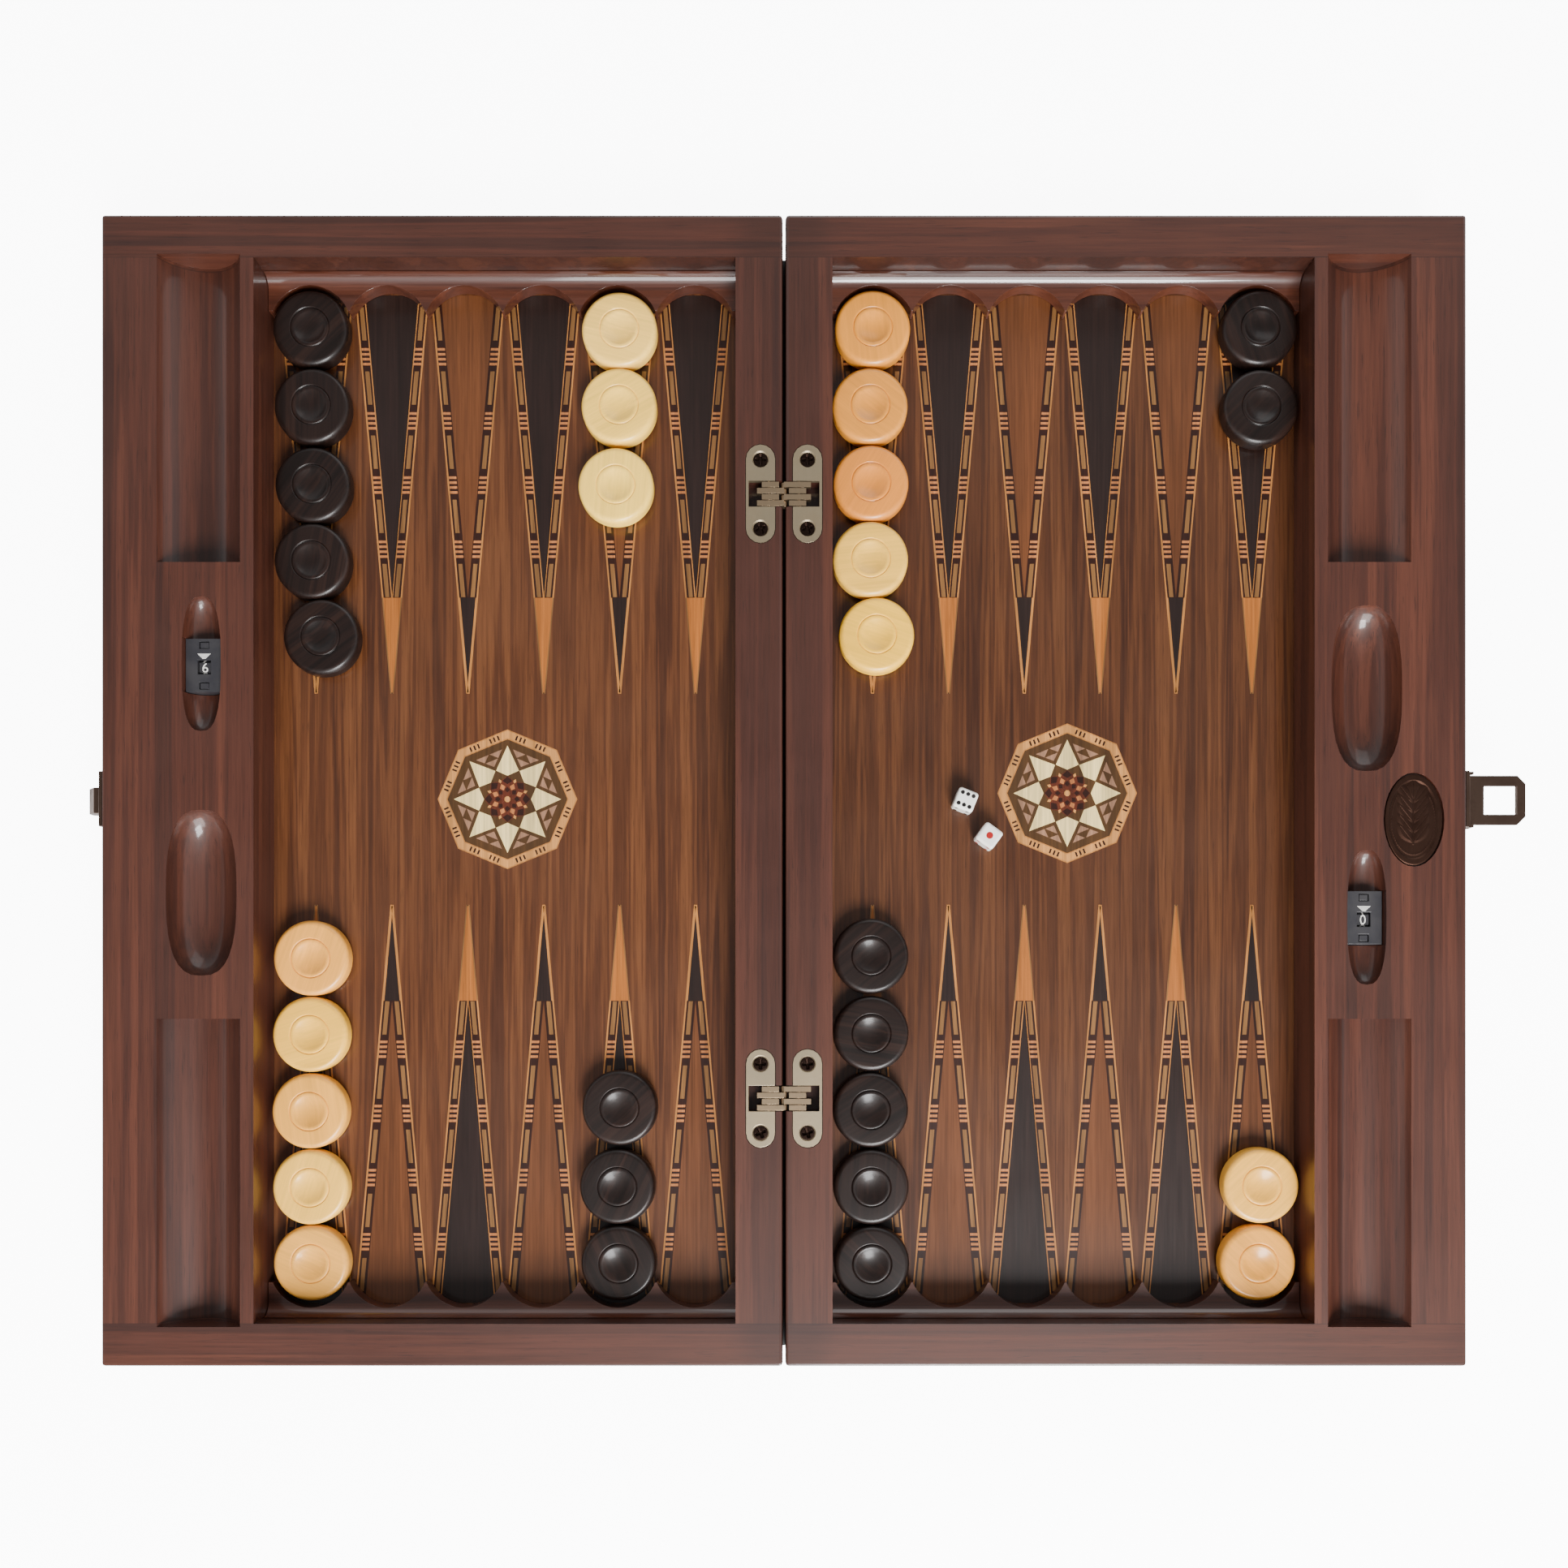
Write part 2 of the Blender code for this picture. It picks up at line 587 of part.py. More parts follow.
def make_button(shop, label, name, x, y):
    """One push button; returns the cutter of the well that it slides in."""
    top = COUNTER_TOP - BUTTON_DROP
    low = (x - BUTTON_WIDTH / 2, y - BUTTON_LENGTH / 2, top - BUTTON_HEIGHT)
    high = (x + BUTTON_WIDTH / 2, y + BUTTON_LENGTH / 2, top)
    button = block(shop, f"{label}_{name}_button", low, high)
    shop.finish(button, f"{label}_{name}_button", "counter_black")
    floor = low[2] - BUTTON_TRAVEL - GAP
    return block(
        shop, f"{label}_{name}_well_cut",
        (low[0] - GAP, low[1] - GAP, floor),
        (high[0] + GAP, high[1] + GAP, COUNTER_TOP + EDGE_MARGIN),
    )


def make_wheel(shop, label, middle):
    """The digit wheel, with a stub axle at each side."""
    half = WHEEL_WIDTH / 2
    end = half + AXLE_STUB
    profile = [
        (0.0, end), (AXLE_RADIUS, end), (AXLE_RADIUS, half), (WHEEL_RADIUS, half),
        (WHEEL_RADIUS, -half), (AXLE_RADIUS, -half), (AXLE_RADIUS, -end), (0.0, -end),
    ]
    wheel = turned(shop, label + "_digit_wheel", profile, middle, (0.0, math.pi / 2, 0.0), 20)
    return shop.finish(wheel, label + "_digit_wheel", "counter_black")


def make_badge(shop, side):
    """The oval badge beside the latch."""
    top = CASE_HEIGHT - BADGE_DROP
    middle = (side * (CASE_OUTER - BADGE_FROM_EDGE), BADGE_FROM_MIDDLE, top - BADGE_THICKNESS / 2)
    badge = sheet(shop, "badge", [oval(BADGE_LENGTH, BADGE_WIDTH)], BADGE_THICKNESS, middle)
    return shop.finish(badge, "badge", "badge_bronze")


def make_leaf(shop, side, label, hinge, y):
    """A hinge leaf: a rounded plate, slotted for the links and bored for their pin."""
    name = f"{hinge}_{label}_leaf"
    x = side * (LEAF_FROM_FOLD + LEAF_WIDTH / 2)
    z = CASE_HEIGHT - LEAF_THICKNESS / 2
    leaf = sheet(shop, name, [stadium(LEAF_LENGTH, LEAF_WIDTH)], LEAF_THICKNESS, (x, y, z))
    half_slot = SLOT_WIDTH / 2
    slot = side_block(
        shop, name + "_slot_cut", side, CASE_INNER, SLOT_REACH, (y - half_slot, y + half_slot),
        (z - LEAF_THICKNESS, z + LEAF_THICKNESS),
    )
    bore = rod(
        shop, name + "_bore_cut", PIN_RADIUS + PIN_CLEARANCE, SLOT_WIDTH + 2 * LINK_PLATE,
        (side * PIVOT_FROM_FOLD, y, PIVOT_HEIGHT), "Y", 12,
    )
    slope = (SCREW_SINK_RADIUS - SCREW_HOLE_RADIUS) / LEAF_THICKNESS
    spread = slope * EDGE_MARGIN
    holes = [
        rod(
            shop, f"{name}_screw_cut_{i}", SCREW_HOLE_RADIUS - spread,
            LEAF_THICKNESS + 2 * EDGE_MARGIN, (x, y + way * SCREW_SPACING / 2, z), "Z", 20,
            SCREW_SINK_RADIUS + spread,
        )
        for i, way in enumerate((-1, 1))
    ]
    combine(leaf, [slot, bore] + holes, "DIFFERENCE")
    return shop.finish(leaf, name, "hinge_bronze")


def link_plate(shop, name, side, y, far, near):
    """One plate of a link, between two distances from the fold."""
    half = LINK_PLATE / 2
    height = (PIVOT_HEIGHT - LINK_BAR / 2, PIVOT_HEIGHT + LINK_BAR / 2)
    return side_block(shop, name, side, near, far, (y - half, y + half), height)


def make_link(shop, side, label, hinge, y):
    """One link of a hinge: two full plates to the centre pin and two short ones.

    Plates are counted along the fold.  The left link owns plates 0 and 2 and the
    centre pin, and the right link owns plates 1 and 3, bored to run on that pin.
    """
    name = f"{hinge}_{label}_link"
    rows = [y + (i - 1.5) * LINK_PITCH for i in range(4)]
    own = (0, 2) if side < 0 else (1, 3)
    near_short = KNUCKLE_RADIUS + KNUCKLE_CLEARANCE
    pieces = []
    for i, row in enumerate(rows):
        full = i in own
        far = PIVOT_FROM_FOLD + (LINK_TAIL if full else SHORT_TAIL)
        near = 0.0 if full else near_short
        pieces.append(link_plate(shop, f"{name}_plate_{i}", side, row, far, near))
        if full:
            knuckle = rod(
                shop, f"{name}_knuckle_{i}", KNUCKLE_RADIUS, LINK_PLATE,
                (0.0, row, CENTRE_PIN_HEIGHT), "Y", 16,
            )
            pieces.append(knuckle)
    pin_reach = SLOT_WIDTH + LINK_PLATE
    pieces.append(
        rod(
            shop, name + "_pivot", PIN_RADIUS, pin_reach,
            (side * PIVOT_FROM_FOLD, y, PIVOT_HEIGHT), "Y", 12,
        )
    )
    stack = 3 * LINK_PITCH + LINK_PLATE
    if side < 0:
        pieces.append(
            rod(shop, name + "_pin", PIN_RADIUS, stack, (0.0, y, CENTRE_PIN_HEIGHT), "Y", 12)
        )
    link = combine(pieces[0], pieces[1:], "UNION")
    if side > 0:
        bore = rod(
            shop, name + "_bore_cut", PIN_RADIUS + PIN_CLEARANCE, 2 * stack,
            (0.0, y, CENTRE_PIN_HEIGHT), "Y", 12,
        )
        combine(link, [bore], "DIFFERENCE")
    return shop.finish(link, name, "link_steel")


def make_hinges(shop):
    """Both hinges, each with two leaves and two links."""
    for hinge, y in hinge_places():
        for side, label in ((-1, "left"), (1, "right")):
            make_leaf(shop, side, label, hinge, y)
            make_link(shop, side, label, hinge, y)


def make_latch_bracket(shop):
    """The plate on the right outer wall, with two lugs that hold the loop's pin."""
    top = CASE_HEIGHT - LATCH_PLATE_TOP
    half = BRACKET_LENGTH / 2
    plate = block(
        shop, "latch_bracket",
        (LATCH_FACE - LATCH_PLATE, LATCH_FROM_MIDDLE - half, top - BRACKET_HEIGHT),
        (LATCH_FACE, LATCH_FROM_MIDDLE + half, top),
    )
    lug_height = (LOOP_PIVOT_Z - 2 * LOOP_BARREL, LOOP_PIVOT_Z + 2 * LOOP_BARREL)
    lug_reach = LOOP_PIVOT_X + LOOP_BARREL
    lugs = []
    for i, way in enumerate((-1, 1)):
        outer = LATCH_FROM_MIDDLE + way * half
        inner = outer - way * LUG_THICKNESS
        lug = block(
            shop, f"latch_lug_{i}", (LATCH_FACE - LATCH_PLATE / 2, min(inner, outer), lug_height[0]),
            (lug_reach, max(inner, outer), lug_height[1]),
        )
        lugs.append(lug)
    combine(plate, lugs, "UNION")
    bore = rod(
        shop, "latch_bore_cut", LOOP_PIN + PIN_CLEARANCE, 2 * BRACKET_LENGTH,
        (LOOP_PIVOT_X, LATCH_FROM_MIDDLE, LOOP_PIVOT_Z), "Y", 16,
    )
    combine(plate, [bore], "DIFFERENCE")
    return shop.finish(plate, "latch_bracket", "latch_bronze")


def make_latch_loop(shop):
    """The loop that drops over the hook, its origin on its pin."""
    half = LOOP_WIDTH / 2
    end = LOOP_REACH
    cut = LOOP_END_CHAMFER
    outer = [
        (0.0, -half), (end - cut, -half), (end, cut - half),
        (end, half - cut), (end - cut, half), (0.0, half),
    ]
    side = WINDOW_WIDTH / 2
    opening = [(WINDOW_NEAR, -side), (WINDOW_FAR, -side), (WINDOW_FAR, side), (WINDOW_NEAR, side)]
    pivot = (LOOP_PIVOT_X, LATCH_FROM_MIDDLE, LOOP_PIVOT_Z)
    loop = sheet(shop, "latch_loop", [outer, opening], LOOP_THICKNESS, pivot)
    barrel = rod(shop, "latch_barrel", LOOP_BARREL, LOOP_WIDTH, pivot, "Y", 20)
    pin = rod(shop, "latch_pin", LOOP_PIN, BRACKET_LENGTH - 2 * GAP, pivot, "Y", 12)
    combine(loop, [barrel, pin], "UNION")
    return shop.finish(loop, "latch_loop", "latch_bronze")


def make_latch_catch(shop):
    """The plate and hook on the left outer wall."""
    top = CASE_HEIGHT - LATCH_PLATE_TOP
    half = CATCH_LENGTH / 2
    plate = block(
        shop, "latch_catch",
        (-LATCH_FACE, LATCH_FROM_MIDDLE - half, top - CATCH_HEIGHT),
        (-LATCH_FACE + LATCH_PLATE, LATCH_FROM_MIDDLE + half, top),
    )
    root = LATCH_PLATE / 2
    pivot = LOOP_PIVOT_X - LATCH_FACE
    seat = WINDOW_FAR - HOOK_CLEARANCE
    flat = pivot + math.sqrt(HOOK_SWING ** 2 - seat ** 2)
    rise = seat - math.sqrt(HOOK_SWING ** 2 - (HOOK_REACH - pivot) ** 2)
    section = [
        (-root, 0.0), (-root, HOOK_HEIGHT), (HOOK_NOSE, HOOK_HEIGHT),
        (HOOK_REACH, HOOK_NOSE), (HOOK_REACH, rise), (flat, 0.0),
    ]
    outline = [(-LATCH_FACE - x, HOOK_BOTTOM + z) for x, z in section]
    hook = sheet(shop, "latch_hook", [outline], HOOK_WIDTH, (0.0, LATCH_FROM_MIDDLE, 0.0), "Y")
    combine(plate, [hook], "UNION")
    return shop.finish(plate, "latch_catch", "latch_bronze")


def checker_profile():
    """Half section of a checker: a flat disc with eased rims."""
    half = CHECKER_THICKNESS / 2
    shoulder = CHECKER_RADIUS - CHECKER_ROUND
    return [
        (0.0, half), (shoulder, half), (CHECKER_RADIUS, half - CHECKER_ROUND),
        (CHECKER_RADIUS, CHECKER_ROUND - half), (shoulder, -half), (0.0, -half),
    ]


def make_checkers(shop):
    """All thirty checkers, each lying on its point."""
    rest = PANEL_TOP + GAP + CHECKER_THICKNESS / 2
    counts = {"dark": 0, "light": 0}
    for side, point, end, tone, shifts in CHECKER_ROWS:
        for i, (shift_x, shift_y) in enumerate(shifts):
            counts[tone] += 1
            x = point_places(side)[point] + shift_x * MM
            y = end * (FIELD_HALF_LENGTH - CHECKER_INSET - i * CHECKER_PITCH) + shift_y * MM
            name = f"{tone}_checker_{counts[tone]:02d}"
            checker = turned(shop, name, checker_profile(), (x, y, rest), steps=CHECKER_STEPS)
            shop.finish(checker, name, "checker_" + tone)


def make_dice(shop):
    """Two small dice on the right field."""
    half = DIE_SIZE / 2
    for name, x, y, turn in DICE:
        die = block(shop, name, (-half, -half, -half), (half, half, half))
        die.location = (x * MM, y * MM, PANEL_TOP + GAP + half)
        die.rotation_euler = (0.0, 0.0, math.radians(turn))
        round_edges(die, DIE_ROUND, 2)
        shop.finish(die, name, "die_white")


def main():
    """Build the whole set."""
    clear_scene()
    shop = Workshop()
    for side, label in ((-1, "left"), (1, "right")):
        make_case(shop, side, label)
        make_panel(shop, side, label)
        for end in (1, -1):
            make_scallop(shop, side, end, label)
        make_counter(shop, side, label)
    make_hinges(shop)
    make_latch_bracket(shop)
    make_latch_loop(shop)
    make_latch_catch(shop)
    make_badge(shop, 1)
    make_checkers(shop)
    make_dice(shop)


main()
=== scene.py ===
"""Looks of a folding backgammon set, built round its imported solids.

Each sub-assembly of the set is a class that makes its pieces and dresses them, and each
wood, metal or plastic is a finish.  Lengths are metres in the frame of the solids: the
fold runs along Y, the left half is at -X and the table is z = 0.
"""
import json
import logging
import math
from dataclasses import dataclass, field, replace
from enum import Enum
from typing import Sequence

import bmesh
import bpy
import numpy as np
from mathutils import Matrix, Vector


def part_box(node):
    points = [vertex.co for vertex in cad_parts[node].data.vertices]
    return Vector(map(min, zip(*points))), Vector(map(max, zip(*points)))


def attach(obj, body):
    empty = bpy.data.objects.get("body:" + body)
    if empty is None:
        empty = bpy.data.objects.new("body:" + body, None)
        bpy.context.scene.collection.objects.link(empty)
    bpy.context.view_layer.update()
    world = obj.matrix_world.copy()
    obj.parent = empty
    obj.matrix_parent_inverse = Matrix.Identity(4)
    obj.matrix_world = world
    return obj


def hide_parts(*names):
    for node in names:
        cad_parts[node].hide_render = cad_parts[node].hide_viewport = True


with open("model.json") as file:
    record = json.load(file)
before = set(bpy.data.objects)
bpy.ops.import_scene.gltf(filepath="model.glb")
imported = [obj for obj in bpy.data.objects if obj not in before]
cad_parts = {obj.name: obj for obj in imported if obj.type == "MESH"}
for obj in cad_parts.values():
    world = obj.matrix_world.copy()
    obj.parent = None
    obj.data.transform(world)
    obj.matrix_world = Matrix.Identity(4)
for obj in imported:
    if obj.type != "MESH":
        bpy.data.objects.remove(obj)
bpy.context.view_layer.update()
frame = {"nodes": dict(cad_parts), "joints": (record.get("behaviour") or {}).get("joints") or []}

LOG = logging.getLogger("backgammon_set")
MM = 0.001
JOINTS = {joint["name"]: joint for joint in frame["joints"]}
FOLD_X, _, FOLD_Z = JOINTS["fold"]["pos_m"]
GRAIN_PLACE = "grain_place"

Point = Sequence[float]


def linear(red: int, green: int, blue: int) -> tuple[float, float, float, float]:
    """Turn an 8-bit display colour into a linear one.

    Args:
        red, green, blue: Display values from 0 to 255.
    Returns:
        Linear red, green, blue and an alpha of one.
    """
    shares = np.array((red, green, blue)) / 255.0
    low = shares / 12.92
    high = ((shares + 0.055) / 1.055) ** 2.4
    return (*np.where(shares <= 0.04045, low, high).tolist(), 1.0)


def scaled(colour: Point, factor: float) -> tuple[float, float, float, float]:
    """A linear colour made lighter or darker by a factor."""
    return (*(min(1.0, c * factor) for c in colour[:3]), 1.0)


# ---------------------------------------------------------------- shader trees
class Tree:
    """A node tree with short ways to add and join nodes."""

    def __init__(self, tree: bpy.types.NodeTree) -> None:
        """Keep the tree that the nodes go in."""
        self.tree = tree

    def node(self, kind: str, inputs: dict | None = None, **settings: object) -> bpy.types.Node:
        """Add a node.

        Args:
            kind: Blender's name of the node type, without "ShaderNode".
            inputs: Sockets by name or number, with a value or a socket to link from.
            settings: Attributes of the node.
        Returns:
            The new node.
        """
        made = self.tree.nodes.new("ShaderNode" + kind)
        for name, value in settings.items():
            setattr(made, name, value)
        for key, value in (inputs or {}).items():
            self.feed(made.inputs[key], value)
        return made

    def feed(self, socket: bpy.types.NodeSocket, value: object) -> None:
        """Link a socket from another one, or set its value."""
        if isinstance(value, bpy.types.NodeSocket):
            self.tree.links.new(value, socket)
        else:
            socket.default_value = value

    def math(self, operation: str, first: object, second: object = 0.0,
             clamp: bool = False) -> bpy.types.NodeSocket:
        """The result of a Math node."""
        made = self.node("Math", {0: first, 1: second}, operation=operation, use_clamp=clamp)
        return made.outputs[0]

    def span(self, value: object, low: float, high: float, to_low: float = 0.0,
             to_high: float = 1.0) -> bpy.types.NodeSocket:
        """A value mapped from one range to another, smoothly and clamped."""
        made = self.node(
            "MapRange",
            {"Value": value, "From Min": low, "From Max": high, "To Min": to_low,
             "To Max": to_high},
            interpolation_type="SMOOTHSTEP",
        )
        return made.outputs["Result"]

    def mix(self, share: object, first: object, second: object,
            blend: str = "MIX") -> bpy.types.NodeSocket:
        """Two colours mixed by a share."""
        made = self.node("Mix", data_type="RGBA", blend_type=blend)
        self.feed(made.inputs[0], share)
        self.feed(made.inputs[6], first)
        self.feed(made.inputs[7], second)
        return made.outputs[2]

    def ramp(self, value: object, stops: Sequence[tuple[float, Point]]) -> bpy.types.NodeSocket:
        """A colour ramp.

        Args:
            value: What runs along the ramp.
            stops: Positions from 0 to 1 and their colours.
        Returns:
            The ramp's colour.
        """
        made = self.node("ValToRGB", {"Fac": value})
        elements = made.color_ramp.elements
        while len(elements) < len(stops):
            elements.new(0.5)
        for element, (position, colour) in zip(elements, stops):
            element.position = position
            element.color = colour
        return made.outputs["Color"]

    def noise(self, vector: object, scale: object, detail: float = 4.0,
              roughness: float = 0.5, distortion: float = 0.0) -> bpy.types.NodeSocket:
        """The value of a noise texture."""
        made = self.node(
            "TexNoise",
            {"Vector": vector, "Scale": scale, "Detail": detail, "Roughness": roughness,
             "Distortion": distortion},
        )
        return made.outputs["Fac"]

    def stretched(self, vector: object, scale: Point, turn: Point = (0.0, 0.0, 0.0),
                  shift: Point = (0.0, 0.0, 0.0)) -> bpy.types.NodeSocket:
        """Coordinates moved, turned and scaled by a Mapping node."""
        made = self.node(
            "Mapping", {"Vector": vector, "Location": shift, "Rotation": turn, "Scale": scale}
        )
        return made.outputs["Vector"]


def new_group(name: str, inputs: Sequence[tuple[str, str, float]],
              outputs: Sequence[tuple[str, str]]) -> tuple[Tree, bpy.types.Node, bpy.types.Node]:
    """A shader node group with named sockets.

    Args:
        name: The group's name.
        inputs: Name, socket type and default of each input.
        outputs: Name and socket type of each output.
    Returns:
        Its tree, its input node and its output node.
    """
    group = bpy.data.node_groups.new(name, "ShaderNodeTree")
    for label, kind, default in inputs:
        socket = group.interface.new_socket(label, in_out="INPUT", socket_type=kind)
        if kind == "NodeSocketFloat":
            socket.default_value = default
    for label, kind in outputs:
        group.interface.new_socket(label, in_out="OUTPUT", socket_type=kind)
    tree = Tree(group)
    return tree, group.nodes.new("NodeGroupInput"), group.nodes.new("NodeGroupOutput")


def wood_figure_group() -> bpy.types.NodeTree:
    """Grain that runs along Y.

    Figure is noise drawn out along Y, Rings are its level lines, Fibre is a much finer
    noise drawn out further, and Pores are the short dark lines where a third one peaks.

    Returns:
        The node group.
    """
    tree, given, put = new_group(
        "wood_figure",
        [("Vector", "NodeSocketVector", 0.0), ("Streaks", "NodeSocketFloat", 60.0),
         ("Fibres", "NodeSocketFloat", 1.0)],
        [("Figure", "NodeSocketFloat"), ("Rings", "NodeSocketFloat"),
         ("Fibre", "NodeSocketFloat"), ("Pores", "NodeSocketFloat")],
    )
    place = given.outputs["Vector"]
    broad = tree.noise(
        tree.stretched(place, (1.0, 0.022, 1.0)), given.outputs["Streaks"], 5.0, 0.55, 0.15
    )
    rings = tree.math("SINE", tree.math("MULTIPLY", broad, 45.0))
    fine_scale = tree.math("MULTIPLY", given.outputs["Fibres"], 900.0)
    fibre = tree.noise(tree.stretched(place, (1.0, 0.025, 1.0)), fine_scale, 3.0, 0.6)
    pore_scale = tree.math("MULTIPLY", given.outputs["Fibres"], 1500.0)
    drawn = tree.stretched(place, (1.0, 0.05, 1.0), shift=(0.3, 0.1, 0.2))
    pores = tree.noise(drawn, pore_scale, 2.0)
    tree.feed(put.inputs["Figure"], broad)
    tree.feed(put.inputs["Rings"], tree.span(rings, -1.0, 1.0))
    tree.feed(put.inputs["Fibre"], fibre)
    tree.feed(put.inputs["Pores"], tree.span(pores, 0.60, 0.72))
    return tree.tree


def rail_turn_group() -> bpy.types.NodeTree:
    """Coordinates whose grain runs along X in the end rails and along Y elsewhere.

    Beyond the start of the rails, X and Y change places.  Joint is a thin line there.

    Returns:
        The node group.
    """
    tree, given, put = new_group(
        "rail_turn",
        [("Vector", "NodeSocketVector", 0.0), ("Rail Start", "NodeSocketFloat", 0.2)],
        [("Vector", "NodeSocketVector"), ("Joint", "NodeSocketFloat")],
    )
    parts = tree.node("SeparateXYZ", {0: given.outputs["Vector"]})
    beyond = tree.math(
        "SUBTRACT", tree.math("ABSOLUTE", parts.outputs["Y"]), given.outputs["Rail Start"]
    )
    swapped = tree.node(
        "CombineXYZ",
        {"X": parts.outputs["Y"], "Y": parts.outputs["X"], "Z": parts.outputs["Z"]},
    )
    chosen = tree.node("Mix", data_type="VECTOR")
    tree.feed(chosen.inputs[0], tree.math("GREATER_THAN", beyond, 0.0))
    tree.feed(chosen.inputs[4], given.outputs["Vector"])
    tree.feed(chosen.inputs[5], swapped.outputs[0])
    line = tree.span(tree.math("ABSOLUTE", beyond), 0.00005, 0.0004, 1.0, 0.0)
    tree.feed(put.inputs["Vector"], chosen.outputs[1])
    tree.feed(put.inputs["Joint"], line)
    return tree.tree


def edge_stain_group() -> bpy.types.NodeTree:
    """A mask that grows towards the outer edges and the ends of the case, and near the fold.

    It is the greatest of half of a smooth step over |x - fold| from 295 to 313 mm, half
    of one over |y| from 255 to 265 mm, and one that falls over |x - fold| from 12 to 30 mm.

    Returns:
        The node group.
    """
    tree, given, put = new_group(
        "edge_stain", [("Vector", "NodeSocketVector", 0.0)], [("Edge", "NodeSocketFloat")]
    )
    parts = tree.node("SeparateXYZ", {0: given.outputs["Vector"]})
    aside = tree.math("ABSOLUTE", tree.math("SUBTRACT", parts.outputs["X"], FOLD_X))
    along = tree.math("ABSOLUTE", parts.outputs["Y"])
    ends = tree.math("MULTIPLY", tree.span(along, 0.255, 0.265), 0.5)
    outer = tree.math("MULTIPLY", tree.span(aside, 0.295, 0.313), 0.5)
    edge = tree.math("MAXIMUM", outer, ends)
    edge = tree.math("MAXIMUM", edge, tree.span(aside, 0.012, 0.030, 1.0, 0.0))
    tree.feed(put.inputs["Edge"], edge)
    return tree.tree


def wear_group() -> bpy.types.NodeTree:
    """Handling marks: soft patches, fine scratches and specks of dust.

    Returns:
        The node group.
    """
    tree, given, put = new_group(
        "handling_marks",
        [("Vector", "NodeSocketVector", 0.0), ("Scale", "NodeSocketFloat", 1.0)],
        [("Patches", "NodeSocketFloat"), ("Scratches", "NodeSocketFloat"),
         ("Specks", "NodeSocketFloat")],
    )
    place = given.outputs["Vector"]
    size = given.outputs["Scale"]
    patches = tree.noise(place, tree.math("MULTIPLY", size, 18.0), 4.0, 0.55)
    drawn = tree.stretched(place, (1.0, 0.03, 0.2), (0.2, 0.1, 0.7))
    scratches = tree.noise(drawn, tree.math("MULTIPLY", size, 1800.0), 2.0)
    specks = tree.noise(place, tree.math("MULTIPLY", size, 2600.0), 1.0)
    tree.feed(put.inputs["Patches"], tree.span(patches, 0.35, 0.68))
    tree.feed(put.inputs["Scratches"], tree.span(scratches, 0.62, 0.74))
    tree.feed(put.inputs["Specks"], tree.span(specks, 0.72, 0.80))
    return tree.tree


class Groups:
    """The shared shader groups, made once."""

    made: dict[str, bpy.types.NodeTree] = {}

    @classmethod
    def get(cls, maker: object) -> bpy.types.NodeTree:
        """The group that a function makes, made on first use."""
        name = maker.__name__
        if name not in cls.made:
            cls.made[name] = maker()
        return cls.made[name]

    @classmethod
    def place(cls, tree: Tree, maker: object, **inputs: object) -> bpy.types.Node:
        """Add a group to a material's tree; underscores in socket names are spaces."""
        made = tree.node("Group", node_tree=cls.get(maker))
        for name, value in inputs.items():
            tree.feed(made.inputs[name.replace("_", " ")], value)
        return made


# ---------------------------------------------------------------- finishes
class Grain(Enum):
    """Where a wood's grain runs."""

    LENGTHWAYS = "along the fold"
    RAILS = "along each rail"
    OWN = "as the piece was turned"


class Surface:
    """A new Principled material and what its finish needs to write it."""

    def __init__(self, name: str) -> None:
        """Start the material."""
        self.material = bpy.data.materials.new(name)
        self.material.use_nodes = True
        self.tree = Tree(self.material.node_tree)
        self.inputs = self.material.node_tree.nodes["Principled BSDF"].inputs

    def link(self, **sockets: object) -> None:
        """Feed the shader's sockets; underscores in their names are spaces."""
        for name, value in sockets.items():
            self.tree.feed(self.inputs[name.replace("_", " ")], value)

    def bump(self, height: object, strength: float, distance: float) -> None:
        """Raise the surface by a height, in metres."""
        made = self.tree.node(
            "Bump", {"Height": height, "Strength": strength, "Distance": distance}
        )
        self.link(Normal=made.outputs["Normal"])

    def marks(self, place: object, scale: float) -> bpy.types.Node:
        """The handling marks."""
        return Groups.place(self.tree, wear_group, Vector=place, Scale=scale)


